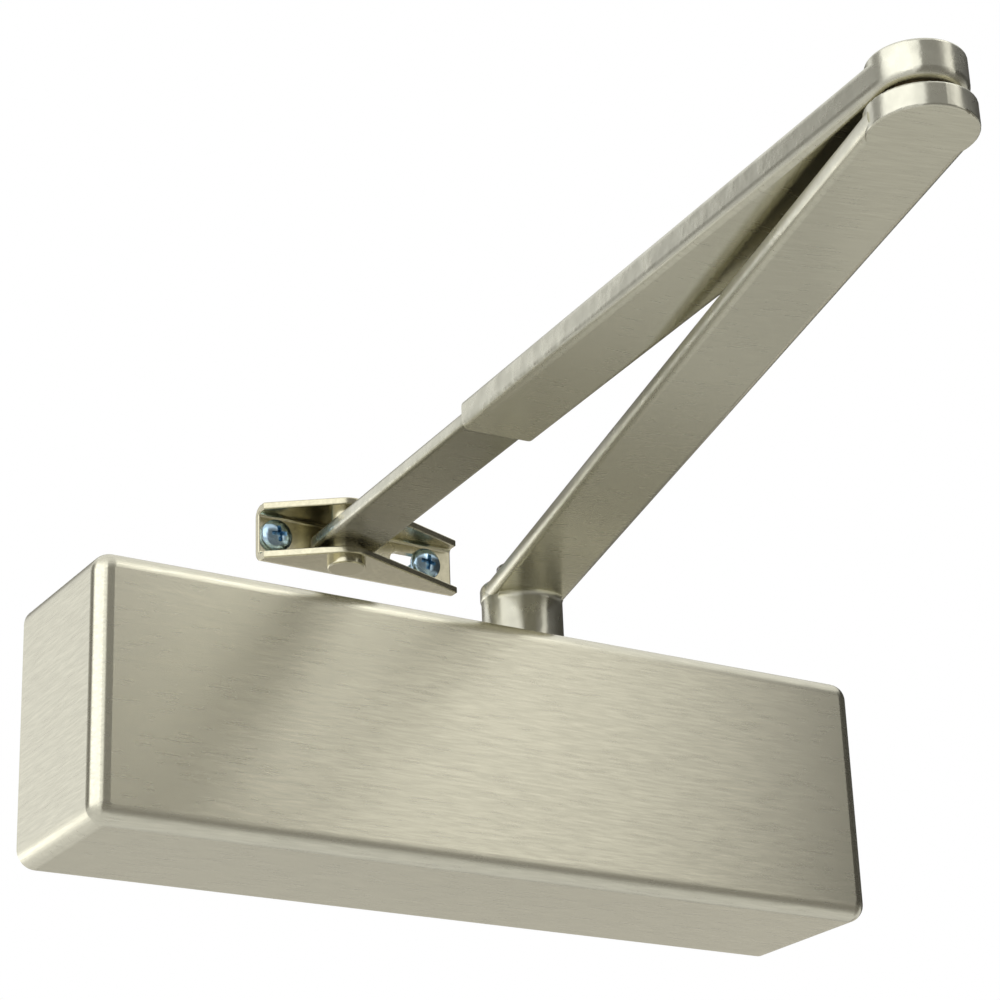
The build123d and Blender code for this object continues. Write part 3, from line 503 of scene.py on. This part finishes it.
@dataclass(frozen=True)
class Cast:
    """A metal surface with a fine even skin, such as a casting or a blasted and plated side.

    Attributes:
        name: Material name.
        tint: Linear colour.
        roughness: Middle roughness.
        grain: Cycles per metre of the skin.
        depth: Depth of the skin in metres.
        contrast: How strongly the skin changes the tone.
        metallic: 1 for bare metal, 0 for rubber or paint.
        spread: How far the roughness goes either way.
        patch: How many times broader the cloudy patches are than the skin.
    """

    name: str
    tint: Colour
    roughness: float
    grain: float = 1400.0
    depth: float = 0.00003
    contrast: float = 0.12
    metallic: float = 1.0
    spread: float = 0.06
    patch: float = 22.0

    def material(self) -> bpy.types.Material:
        """Builds the finish."""
        sheet = NodeSheet.new(self.name)
        skin = sheet.noise(sheet.mapped(UNTURNED, (self.grain,) * 3), detail=3.0, rough=0.6)
        cloud = sheet.noise(sheet.mapped(UNTURNED, (self.grain / self.patch,) * 3), detail=3.0)
        tone = sheet.span(sheet.weigh(skin, cloud, share=0.5), 0.0, 1.0, *SKIN_SPAN)
        shader = sheet.shader
        sheet.feed(shader, "Base Color", sheet.tones(tone, self.tint, self.contrast))
        sheet.feed(shader, "Metallic", self.metallic)
        sheet.feed(shader, "Roughness", sheet.either_side(cloud, self.roughness, self.spread))
        sheet.relief(sheet.sums("MULTIPLY", skin, self.depth))
        return sheet.owner


@dataclass(frozen=True)
class Turned:
    """Bright metal off a lathe, with fine rings about the axis that it was turned on.

    Attributes:
        name: Material name.
        tint: Linear colour.
        axis: The lathe's axis.
        centre: A point on that axis, in metres.
        roughness: Middle roughness.
        pitch: Distance from ring to ring, in metres.
        contrast: How strongly the rings change the tone.
        spread: How far the roughness goes either way.
        depth: Depth of the rings in metres.
        cloud: Cycles per metre of the cloudy patches.
        ring_share: Weight of the rings beside the cloudy patches.
    """

    name: str
    tint: Colour
    axis: TurnAxis
    centre: Point = (0.0, 0.0, 0.0)
    roughness: float = 0.22
    pitch: float = 0.0004
    contrast: float = 0.06
    spread: float = 0.05
    depth: float = 0.000006
    cloud: float = 160.0
    ring_share: float = 0.6

    def material(self) -> bpy.types.Material:
        """Builds the finish."""
        sheet = NodeSheet.new(self.name)
        moved = sheet.add("ShaderNodeMapping")
        sheet.feed(moved, "Vector", sheet.place())
        sheet.feed(moved, "Location", tuple(-c for c in self.centre))
        apart = sheet.add("ShaderNodeSeparateXYZ")
        sheet.feed(apart, 0, moved.outputs[0])
        along = self.axis.value
        others = [i for i in range(3) if i != along]
        squares = [sheet.sums("POWER", sheet.sums("ABSOLUTE", apart.outputs[i], 0.0), 2.0) for i in others]
        radius = sheet.sums("SQRT", sheet.sums("ADD", *squares), 0.0)
        both = sheet.add("ShaderNodeCombineXYZ")
        sheet.feed(both, 0, sheet.sums("DIVIDE", radius, self.pitch))
        sheet.feed(both, 1, sheet.sums("DIVIDE", apart.outputs[along], self.pitch))
        rings = sheet.noise(both.outputs[0], detail=3.0, rough=0.6)
        cloud = sheet.noise(sheet.mapped(UNTURNED, (self.cloud,) * 3), detail=2.0)
        mixed = sheet.weigh(rings, cloud, self.ring_share)
        tone = sheet.span(mixed, 0.0, 1.0, *NOISE_SPAN)
        shader = sheet.shader
        sheet.feed(shader, "Base Color", sheet.tones(tone, self.tint, self.contrast))
        sheet.feed(shader, "Metallic", 1.0)
        sheet.feed(shader, "Roughness", sheet.either_side(mixed, self.roughness, self.spread))
        sheet.relief(sheet.sums("MULTIPLY", rings, self.depth))
        return sheet.owner


Finish = Brushed | Cast | Turned


# Pieces


def dress(finish: Finish, *nodes: str) -> None:
    """Gives CAD nodes one finish through their material slots.

    Args:
        finish: The finish that they share.
        *nodes: The CAD nodes' names.
    """
    material = finish.material()
    for node in nodes:
        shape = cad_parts[node]
        if not shape.material_slots:
            shape.data.materials.append(material)
        for holder in shape.material_slots:
            holder.material = material
        LOG.info("dressed %s with %s", node, material.name)


def as_mesh(name: str, shape: bmesh.types.BMesh) -> bpy.types.Mesh:
    """Turns a shape into a named mesh and lets the shape go.

    Args:
        name: The mesh's name.
        shape: The shape, which can't be used afterwards.

    Returns:
        The mesh.
    """
    mesh = bpy.data.meshes.new(name)
    shape.to_mesh(mesh)
    shape.free()
    return mesh


def stand(name: str, shape: bmesh.types.BMesh) -> bpy.types.Object:
    """Puts a shape into the scene as an object.

    Args:
        name: The object's name.
        shape: The shape, which can't be used afterwards.

    Returns:
        The object.
    """
    thing = bpy.data.objects.new(name, as_mesh(name, shape))
    bpy.context.scene.collection.objects.link(thing)
    return thing


def add_piece(name: str, shape: bmesh.types.BMesh, material: bpy.types.Material, body: str,
              smooth: float = 35.0) -> bpy.types.Object:
    """Makes a finished mesh into a piece that rides on a body.

    Args:
        name: The piece's name.
        shape: The mesh, in place in the row frame.
        material: Its finish.
        body: The CAD body that carries it.
        smooth: Angle in degrees up to which edges are shaded smooth.

    Returns:
        The new object.
    """
    piece = stand(name, shape)
    piece.data.materials.append(material)
    piece.data.set_sharp_from_angle(angle=math.radians(smooth))
    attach(piece, body)
    LOG.info("built %s on %s: %d faces", name, body, len(piece.data.polygons))
    return piece


def lathe(outline: list[Pair], steps: int) -> bmesh.types.BMesh:
    """Spins an outline about Z into a closed solid.

    Args:
        outline: Radius and height from one end of the axis to the other.
        steps: Number of faces round.

    Returns:
        The solid, with its faces pointing outwards.
    """
    shape = bmesh.new()
    points = [shape.verts.new((radius, 0.0, height)) for radius, height in outline]
    edges = [shape.edges.new(pair) for pair in zip(points, points[1:])]
    bmesh.ops.spin(shape, geom=points + edges, cent=(0, 0, 0), axis=(0, 0, 1), angle=math.tau, steps=steps,
                   use_merge=True)
    bmesh.ops.remove_doubles(shape, verts=shape.verts, dist=LATHE_WELD)
    bmesh.ops.recalc_face_normals(shape, faces=shape.faces)
    return shape


@dataclass
class CrossScrew:
    """A pan-head machine screw with a cross recess, standing along +Z with its seat at height 0.

    Attributes:
        head_radius: Radius of the head.
        head_height: Height of the head.
        neck_radius: Radius of the plain part under the head.
        neck_length: Length of the plain part.
        thread_radius: Nominal radius of the thread.
        root_radius: Radius between the crests.
        pitch: Rise of the thread in one turn.
        length: From the seat to the tip.
        point: Length of the tapered end.
        tip: Share of the radius that is left at the tip.
        recess: Length of the cross from end to end.
        recess_wing: Half the width of the cross's wings, as a share of its length.
        recess_floor: Share of the cross's size that is left at its floor.
        recess_top: Height at which the cutter starts, as a share of the head's height.
        recess_fall: Height of the cutter, as a share of the head's height.
        dome_foot: Height at which the dome starts, as a share of the head's height.
        dome_angles: Degrees over the dome's foot at which it has a corner.
        bevel: Height and radius at which the head's lower edge is bevelled, as shares of the head's own.
        crest: Share of the nominal radius that the crests reach.
        thread_form: Whether each corner of the thread is on a crest, and its place along one turn.
        steps: Faces round the head.
        thread_steps: Faces to a turn of the thread.
    """

    head_radius: float = 0.0044
    head_height: float = 0.0028
    neck_radius: float = 0.0025
    neck_length: float = 0.0023
    thread_radius: float = 0.00235
    root_radius: float = 0.0018
    pitch: float = 0.0009
    length: float = 0.0076
    point: float = 0.0007
    tip: float = 0.72
    recess: float = 0.0056
    recess_wing: float = 0.13
    recess_floor: float = 0.42
    recess_top: float = 1.3
    recess_fall: float = 1.05
    dome_foot: float = 0.38
    dome_angles: tuple[int, ...] = (84, 72, 60, 48, 36, 24, 12, 0)
    bevel: Pair = (0.12, 0.97)
    crest: float = 0.97
    thread_form: tuple[tuple[bool, float], ...] = (
        (False, 0.0), (False, 0.42), (True, 0.66), (True, 0.76), (False, 1.0))
    steps: int = 64
    thread_steps: int = 28

    def head(self) -> bmesh.types.BMesh:
        """The domed head and plain neck as one turned solid."""
        r, h = self.head_radius, self.head_height
        foot = self.dome_foot * h
        angles = [math.radians(degrees) for degrees in self.dome_angles]
        dome = [(r * math.cos(a), foot + (h - foot) * math.sin(a)) for a in angles]
        rim = [(r, self.bevel[0] * h), (self.bevel[1] * r, 0.0)]
        neck = [(self.neck_radius, 0.0), (self.neck_radius, -self.neck_length), (0.0, -self.neck_length)]
        return lathe([(0.0, h), *dome, *rim, *neck], self.steps)

    def cutter(self) -> bmesh.types.BMesh:
        """The tapered cross that is pressed into the head."""
        shape = bmesh.new()
        long, wide = self.recess / 2, self.recess * self.recess_wing
        wing = [(long, -wide), (long, wide), (wide, wide)]
        corners = []
        for _ in range(4):
            corners += wing
            wing = [(-y, x) for x, y in wing]
        top = [shape.verts.new((x, y, self.head_height * self.recess_top)) for x, y in corners]
        face = shape.faces.new(top)
        grown = bmesh.ops.extrude_face_region(shape, geom=[face])
        low = [v for v in grown["geom"] if isinstance(v, bmesh.types.BMVert)]
        bmesh.ops.scale(shape, vec=(self.recess_floor, self.recess_floor, 1.0), verts=low)
        bmesh.ops.translate(shape, vec=(0, 0, -self.head_height * self.recess_fall), verts=low)
        bmesh.ops.recalc_face_normals(shape, faces=shape.faces)
        return shape

    def thread(self) -> bmesh.types.BMesh:
        """The helical thread with its tapered point."""
        shape = bmesh.new()
        turns = math.floor((self.length - self.neck_length) / self.pitch) - 1
        points = []
        for on_crest, share in self.thread_form:
            radius = self.thread_radius * self.crest if on_crest else self.root_radius
            points.append(shape.verts.new((radius, 0.0, -self.neck_length - share * self.pitch)))
        edges = [shape.edges.new(pair) for pair in zip(points, points[1:])]
        bmesh.ops.spin(shape, geom=points + edges, cent=(0, 0, 0), axis=(0, 0, 1), angle=math.tau * turns,
                       dvec=(0, 0, -self.pitch / self.thread_steps), steps=self.thread_steps * turns)
        bmesh.ops.remove_doubles(shape, verts=shape.verts, dist=COIL_WELD)
        for vert in shape.verts:
            rest = max(0.0, vert.co.z + self.length)
            taper = min(1.0, self.tip + (1.0 - self.tip) * rest / self.point)
            vert.co.x *= taper
            vert.co.y *= taper
        bmesh.ops.holes_fill(shape, edges=[e for e in shape.edges if e.is_boundary], sides=0)
        bmesh.ops.recalc_face_normals(shape, faces=shape.faces)
        return shape

    def build(self) -> bmesh.types.BMesh:
        """Cuts the recess and adds the thread.

        Returns:
            The whole screw, standing along +Z.
        """
        blank = stand("blank", self.head())
        cutter = stand("cutter", self.cutter())
        cut = blank.modifiers.new("recess", "BOOLEAN")
        cut.object = cutter
        cut.operation = "DIFFERENCE"
        cut.solver = "EXACT"
        ready = bpy.data.meshes.new_from_object(blank.evaluated_get(bpy.context.evaluated_depsgraph_get()))
        threaded = as_mesh("threaded", self.thread())
        whole = bmesh.new()
        whole.from_mesh(ready)
        whole.from_mesh(threaded)
        used = [ready, threaded, blank.data, cutter.data]
        for part in (blank, cutter):
            bpy.data.objects.remove(part)
        for mesh in used:
            bpy.data.meshes.remove(mesh)
        return whole


@dataclass
class BoxCover:
    """The pressed box over the body."""

    finish: Brushed = Brushed("brushed_cover", NICKEL, Lay.ALONG_COVER)

    def dress(self) -> None:
        """Brushes the cover along its length."""
        dress(self.finish, "cover")


@dataclass
class Levers:
    """The main arm, the forearm's sleeve and the bar that slides in it."""

    arm: Brushed = Brushed("brushed_arm", LEVER_NICKEL, Lay.ACROSS_ARM, wall_roughness=0.3,
                           polished_below=ARM_UNDERSIDE)
    sleeve: Brushed = Brushed("brushed_sleeve", LEVER_NICKEL, Lay.ACROSS_FOREARM, wall_roughness=0.28)
    # The bar is the sleeve's nickel with its ground faces darkened as painted shade; its upright walls keep
    # their own tint
    bar: Brushed = Brushed("brushed_bar", shade(LEVER_NICKEL, BAR_PAINTED_SHADE), Lay.ACROSS_FOREARM,
                           wall_roughness=0.28)
    pins: Turned = Turned("turned_pins", LEVER_NICKEL, TurnAxis.Z, ELBOW_AXIS)
    # Bronze for the elbow bush and washer, darkened almost to black as painted shade for the gap between the
    # arms
    bush: Cast = Cast("bronze_bush_painted_shade", (0.11, 0.085, 0.055), 0.38)
    fixings: Turned = Turned("turned_fixings", STEEL, TurnAxis.Z, SPINDLE_AXIS)
    clamp: Turned = Turned("turned_clamp", STEEL, TurnAxis.Z, CLAMP_AXIS)

    def dress(self) -> None:
        """Finishes the levers and the pieces on their axes."""
        dress(self.arm, "main_arm")
        dress(self.sleeve, "forearm_sleeve")
        dress(self.bar, "slide_bar")
        dress(self.pins, "elbow_pin")
        dress(self.bush, "elbow_bush", "elbow_washer")
        dress(self.fixings, "arm_screw", "arm_washer")
        dress(self.clamp, "clamp_screw")


@dataclass
class FrameBracket:
    """The pressed bracket with its rivet, spacers and two machine screws.

    Attributes:
        screw: The form of both screws.
        pressed: Finish of the bracket.
        rivet: Finish of the rivet and its spacers.
        screw_turns: How far each screw's cross is turned, in degrees.
    """

    screw: CrossScrew = field(default_factory=CrossScrew)
    pressed: Cast = Cast("plated_bracket", PRESSED_NICKEL, 0.25, grain=900.0, depth=0.000014, contrast=0.14)
    rivet: Turned = Turned("turned_rivet", PRESSED_NICKEL, TurnAxis.Z, RIVET_AXIS)
    screw_turns: Pair = (7.0, -8.0)

    def seats(self) -> list[Vector]:
        """Where each screw head sits on the plate, from the CAD screws' boxes."""
        low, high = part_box("bracket_screws")
        plate = low.y + self.screw.head_height
        middle = (low.z + high.z) / 2
        radius = self.screw.head_radius
        return [Vector((low.x + radius, plate, middle)), Vector((high.x - radius, plate, middle))]

    def dress(self) -> None:
        """Finishes the bracket and sets its screws."""
        dress(self.pressed, "bracket")
        dress(self.rivet, "bracket_pin", "lower_spacer", "upper_spacer")
        facing_front = Matrix.Rotation(math.pi / 2, 4, "X")
        for side, seat, turn in zip(("left", "right"), self.seats(), self.screw_turns):
            zinc = Turned(f"zinc_screw_{side}", ZINC, TurnAxis.Y, tuple(seat), roughness=0.2).material()
            shape = self.screw.build()
            tightened = Matrix.Rotation(math.radians(turn), 4, "Z")
            place = Matrix.Translation(seat) @ facing_front @ tightened
            bmesh.ops.transform(shape, matrix=place, verts=shape.verts)
            piece = add_piece(f"frame_screw_{side}", shape, zinc, "bracket")
            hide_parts("bracket_screws")


@dataclass
class Body:
    """The cast case with what turns and slides in it."""

    case: Cast = Cast("cast_case", (0.52, 0.52, 0.5), 0.42)
    along: Turned = Turned("turned_along_case", STEEL, TurnAxis.X, BORE_AXIS)
    upright: Turned = Turned("turned_upright", STEEL, TurnAxis.Z, SPINDLE_AXIS)
    bronze: Cast = Cast("bearing_bronze", (0.55, 0.36, 0.16), 0.35)
    brass: Turned = Turned("valve_brass", (0.72, 0.52, 0.22), TurnAxis.X, VALVE_AXIS)
    rubber: Cast = Cast("seal_rubber", (0.02, 0.02, 0.02), 0.6, metallic=0.0)
    clip: Brushed = Brushed("zinc_clips", ZINC, Lay.ALONG_COVER, roughness=0.25)
    clip_zinc: Turned = Turned("zinc_clip_screws", ZINC, TurnAxis.Y, roughness=0.22)

    def dress(self) -> None:
        """Finishes the case, its clips and everything inside it but the main spring."""
        dress(self.case, "case_casting")
        dress(self.along, "spring_end_plug", "valve_end_plug", "piston", "spring_seat", "power_screw",
              "check_retainer", "check_ball")
        dress(self.upright, "pinion_spindle", "upper_gland_nut", "lower_gland_nut")
        dress(self.bronze, "upper_bearing", "lower_bearing")
        dress(self.brass, "closing_valve", "latching_valve")
        dress(self.rubber, "spring_plug_ring", "valve_plug_ring", "upper_seal", "lower_seal", "piston_seal",
              "closing_valve_ring", "latching_valve_ring")
        dress(self.clip, "cover_clips")
        dress(self.clip_zinc, "clip_screws")


@dataclass
class MainSpring:
    """The coil spring in the body, wound in two lengths.

    The coils next to the seat make one length and the others make the second.

    Attributes:
        wire_radius: Radius of the wire.
        turns: Coils from end to end.
        seat_turns: Coils that follow the seat.
        stroke: How far the piston comes.
        seat_travel: How far the seat is screwed in.
        around: Faces round the wire.
        steps: Faces to a turn.
        finish: Oiled spring steel.
    """

    wire_radius: float = 0.0024
    turns: float = 7.0
    seat_turns: float = 1.5
    stroke: float = PINION_RADIUS * math.pi
    seat_travel: float = 0.006
    around: int = 16
    steps: int = 40
    finish: Cast = Cast("spring_steel", (0.16, 0.16, 0.17), 0.33, contrast=0.2)

    def coils(self, first: float, last: float) -> bmesh.types.BMesh:
        """Winds some of the coils in the space that the CAD spring holds.

        Args:
            first: Turn at which they start, counted from the seat.
            last: Turn at which they end.

        Returns:
            The wire with both of its ends closed.
        """
        low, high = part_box("main_spring")
        pitch = (high.x - low.x - 2 * self.wire_radius) / self.turns
        mean_radius = (high.z - low.z) / 2 - self.wire_radius
        shape = bmesh.new()
        bmesh.ops.create_circle(shape, cap_ends=False, radius=self.wire_radius, segments=self.around)
        upright = Matrix.Rotation(math.pi / 2, 3, "X")
        bmesh.ops.rotate(shape, cent=(0, 0, 0), matrix=upright, verts=shape.verts)
        bmesh.ops.translate(shape, vec=(mean_radius, 0.0, first * pitch), verts=shape.verts)
        to_start = Matrix.Rotation(math.tau * first, 3, "Z")
        bmesh.ops.rotate(shape, cent=(0, 0, 0), matrix=to_start, verts=shape.verts)
        bmesh.ops.spin(shape, geom=shape.verts[:] + shape.edges[:], cent=(0, 0, 0), axis=(0, 0, 1),
                       dvec=(0, 0, pitch / self.steps), angle=math.tau * (last - first),
                       steps=round(self.steps * (last - first)))
        bmesh.ops.remove_doubles(shape, verts=shape.verts, dist=COIL_WELD)
        bmesh.ops.holes_fill(shape, edges=[e for e in shape.edges if e.is_boundary], sides=0)
        bmesh.ops.recalc_face_normals(shape, faces=shape.faces)
        start = Matrix.Translation((low.x + self.wire_radius, (low.y + high.y) / 2, (low.z + high.z) / 2))
        along_case = Matrix.Rotation(math.pi / 2, 4, "Y")
        bmesh.ops.transform(shape, matrix=start @ along_case, verts=shape.verts)
        return shape

    def dress(self) -> None:
        """Winds the spring in two lengths."""
        low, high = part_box("main_spring")
        wound = high.x - low.x - 2 * self.wire_radius
        parting = low.x + self.wire_radius + wound * self.seat_turns / self.turns
        by_seat = 1 - self.seat_travel / (parting - low.x)
        by_piston = 1 - self.stroke / (high.x - parting)
        steel = self.finish.material()
        lengths = (("spring_seat_coils", 0.0, self.seat_turns, "seat_slide", by_seat),
                   ("spring_piston_coils", self.seat_turns, self.turns, "spindle_turn", by_piston))
        for name, first, last, joint, keep in lengths:
            piece = add_piece(name, self.coils(first, last), steel, "case", smooth=60.0)
            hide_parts("main_spring")
            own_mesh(piece)


# Studio


@dataclass(frozen=True)
class Card:
    """A reflector or a dark flag: a patch of a large sphere round the object.

    Attributes:
        name: The card's name.
        azimuth: First and last direction in degrees from +X towards +Y.
        height: Lowest and highest angle over the horizon in degrees.
        tone: Its brightness, where 1 is white paper.
        fade: Degrees over which its edges thin out.
        warmth: How much less blue than red it is.
        reach: Distance from the object in metres.
    """

    name: str
    azimuth: Pair
    height: Pair
    tone: float
    fade: float = 6.0
    warmth: float = 0.12
    reach: float = 2.0


@dataclass
class Studio:
    """Camera, pale floor, even light and the cards that the metal shows.

    Attributes:
        eye: Where the camera stands, in metres.
        heading: Where it looks, in degrees from +Y towards +X.
        rise: How far it looks up, in degrees.
        roll: How far it leans, in degrees.
        lens: Its focal length in millimetres.
        sensor: Width of its sensor in millimetres.
        nearest: Distance from which it sees, in metres.
        light_level: Strength of the surroundings as a light.
        seen_level: Their strength to the camera and to mirrors.
        floor_height: Height of the floor in metres.
        floor_radius: Its radius in metres.
        floor_steps: Corners round it.
        floor_finish: Its paint.
        card_faces: Faces along and up a card.
        cards: The cards.
    """

    eye: Point = (-0.3567, -0.6090, -0.2170)
    heading: float = 32.36
    rise: float = 23.06
    roll: float = -2.22
    lens: float = 99.87
    sensor: float = 36.0
    nearest: float = 0.01
    light_level: float = 0.95
    seen_level: float = 1.0
    floor_height: float = -1.25
    floor_radius: float = 9.0
    floor_steps: int = 96
    floor_finish: Cast = Cast("pale_floor", (0.8, 0.8, 0.8), 0.8, grain=40.0, depth=0.0002, contrast=0.01,
                              metallic=0.0)
    card_faces: tuple[int, int] = (24, 12)
    cards: tuple[Card, ...] = (
        Card("key_light", (-71.0, -43.0), (33.0, 54.0), 2.6, fade=5.0, warmth=0.03),
        Card("card_front_wide", (-80.0, -46.0), (-4.0, 36.0), 0.8, reach=2.15, warmth=0.06),
        Card("card_front", (-65.5, -46.0), (-4.0, 36.0), 1.0, fade=6.0, reach=2.1, warmth=0.06),
        Card("flag_front_left", (-122.0, -64.5), (-6.0, 42.0), 0.2, fade=8.0),
        Card("softbox_left", (-200.0, -131.0), (-4.0, 46.0), 1.9, warmth=0.0, reach=2.05),
        Card("softbox_high", (-160.0, -112.0), (18.0, 48.0), 1.7, warmth=0.0, reach=1.95),
        Card("flag_left", (-234.0, -200.0), (-6.0, 42.0), 0.2, fade=5.0),
        Card("flag_right", (-52.8, 52.0), (-6.0, 40.0), 0.06, fade=5.0),
        Card("flag_back", (44.0, 106.0), (-4.0, 46.0), 0.2, fade=8.0),
        Card("flag_low_front", (-130.0, -10.0), (-84.0, 3.0), 0.22, fade=8.0),
        Card("flag_under", (14.0, 76.0), (-31.0, -17.0), 0.17, fade=5.0),
        Card("card_low_back", (20.0, 110.0), (-26.0, -2.0), 0.85, warmth=0.15, reach=2.2),
        Card("strip_edges", (82.0, 124.0), (-20.0, -2.0), 2.4, fade=5.0, warmth=0.03, reach=1.9),
        Card("card_below", (20.0, 110.0), (-84.0, -42.0), 1.6, warmth=0.1),
    )

    def camera(self) -> None:
        """Stands the camera below and to the left, as the photograph has it."""
        az, el, roll = (math.radians(a) for a in (self.heading, self.rise, self.roll))
        ahead = Vector((math.sin(az) * math.cos(el), math.cos(az) * math.cos(el), math.sin(el)))
        right = Vector((math.cos(az), -math.sin(az), 0.0))
        up = right.cross(ahead)
        across = right * math.cos(roll) + up * math.sin(roll)
        upward = up * math.cos(roll) - right * math.sin(roll)
        data = bpy.data.cameras.new("camera")
        data.lens = self.lens
        data.sensor_width = self.sensor
        data.clip_start = self.nearest
        eye = bpy.data.objects.new("camera", data)
        aim = Matrix((across, upward, -ahead)).transposed().to_4x4()
        eye.matrix_world = Matrix.Translation(self.eye) @ aim
        bpy.context.scene.collection.objects.link(eye)
        bpy.context.scene.camera = eye

    def world(self) -> None:
        """White to the camera and to mirrors, softer as a light."""
        world = bpy.data.worlds.new("studio")
        world.use_nodes = True
        sheet = NodeSheet(world)
        path = sheet.add("ShaderNodeLightPath")
        mirrored = sheet.sums("MAXIMUM", path.outputs["Is Camera Ray"], path.outputs["Is Glossy Ray"])
        seen = sheet.sums("MAXIMUM", mirrored, path.outputs["Is Transmission Ray"])
        back = sheet.find("BACKGROUND")
        sheet.feed(back, "Color", WHITE)
        sheet.feed(back, "Strength", sheet.span(seen, self.light_level, self.seen_level, 0.0, 1.0))
        bpy.context.scene.world = world

    def floor(self) -> None:
        """A plain pale floor, far below the hanging object."""
        shape = bmesh.new()
        bmesh.ops.create_circle(shape, cap_ends=True, radius=self.floor_radius, segments=self.floor_steps)
        bmesh.ops.translate(shape, vec=(0, 0, self.floor_height), verts=shape.verts)
        plane = stand("floor", shape)
        plane.data.materials.append(self.floor_finish.material())

    def hang(self, card: Card) -> None:
        """Hangs one card where only the metal sees it.

        Args:
            card: The card to hang.
        """
        shape = bmesh.new()
        shape.loops.layers.uv.new("UVMap")
        along, up = self.card_faces
        bmesh.ops.create_grid(shape, x_segments=along, y_segments=up, size=0.5, calc_uvs=True)
        for vert in shape.verts:
            az = math.radians(card.azimuth[0] + (vert.co.x + 0.5) * (card.azimuth[1] - card.azimuth[0]))
            el = math.radians(card.height[0] + (vert.co.y + 0.5) * (card.height[1] - card.height[0]))
            way = Vector((math.cos(az) * math.cos(el), math.sin(az) * math.cos(el), math.sin(el)))
            vert.co = card.reach * way
        sheet = stand(card.name, shape)
        sheet.data.materials.append(self.card_stuff(card))
        sheet.visible_camera = False
        sheet.visible_shadow = False
        sheet.visible_diffuse = False

    def card_stuff(self, card: Card) -> bpy.types.Material:
        """An even glow that thins out towards the card's edges.

        Args:
            card: The card that gets it.

        Returns:
            The material.
        """
        stuff = NodeSheet.new(card.name)
        stuff.tree.nodes.remove(stuff.shader)
        apart = stuff.add("ShaderNodeSeparateXYZ")
        stuff.feed(apart, 0, stuff.add("ShaderNodeTexCoord").outputs["UV"])
        shares = []
        for axis, (start, end) in enumerate((card.azimuth, card.height)):
            share = apart.outputs[axis]
            inward = stuff.sums("MINIMUM", share, stuff.sums("SUBTRACT", 1.0, share))
            shares.append(stuff.span(inward, 0.0, 1.0, 0.0, card.fade / (end - start)))
        # Green loses a third of what blue loses
        glow = stuff.add("ShaderNodeEmission")
        stuff.feed(glow, "Color", (1.0, 1.0 - card.warmth / 3, 1.0 - card.warmth, 1.0))
        stuff.feed(glow, "Strength", card.tone)
        both = stuff.add("ShaderNodeMixShader")
        stuff.feed(both, 0, stuff.sums("MULTIPLY", *shares))
        stuff.feed(both, 1, stuff.add("ShaderNodeBsdfTransparent").outputs[0])
        stuff.feed(both, 2, glow.outputs[0])
        stuff.feed(stuff.find("OUTPUT_MATERIAL"), "Surface", both.outputs[0])
        return stuff.owner

    def build(self) -> None:
        """Sets up the whole studio."""
        self.camera()
        self.world()
        self.floor()
        for card in self.cards:
            self.hang(card)
        bpy.context.scene.view_settings.view_transform = "Standard"


def main() -> None:
    """Builds the studio and dresses each sub-assembly in order."""
    logging.basicConfig(level=logging.INFO, format="%(name)s: %(message)s")
    Studio().build()
    for assembly in (Body(), MainSpring(), BoxCover(), Levers(), FrameBracket()):
        assembly.dress()


if __name__ == "__main__":
    main()
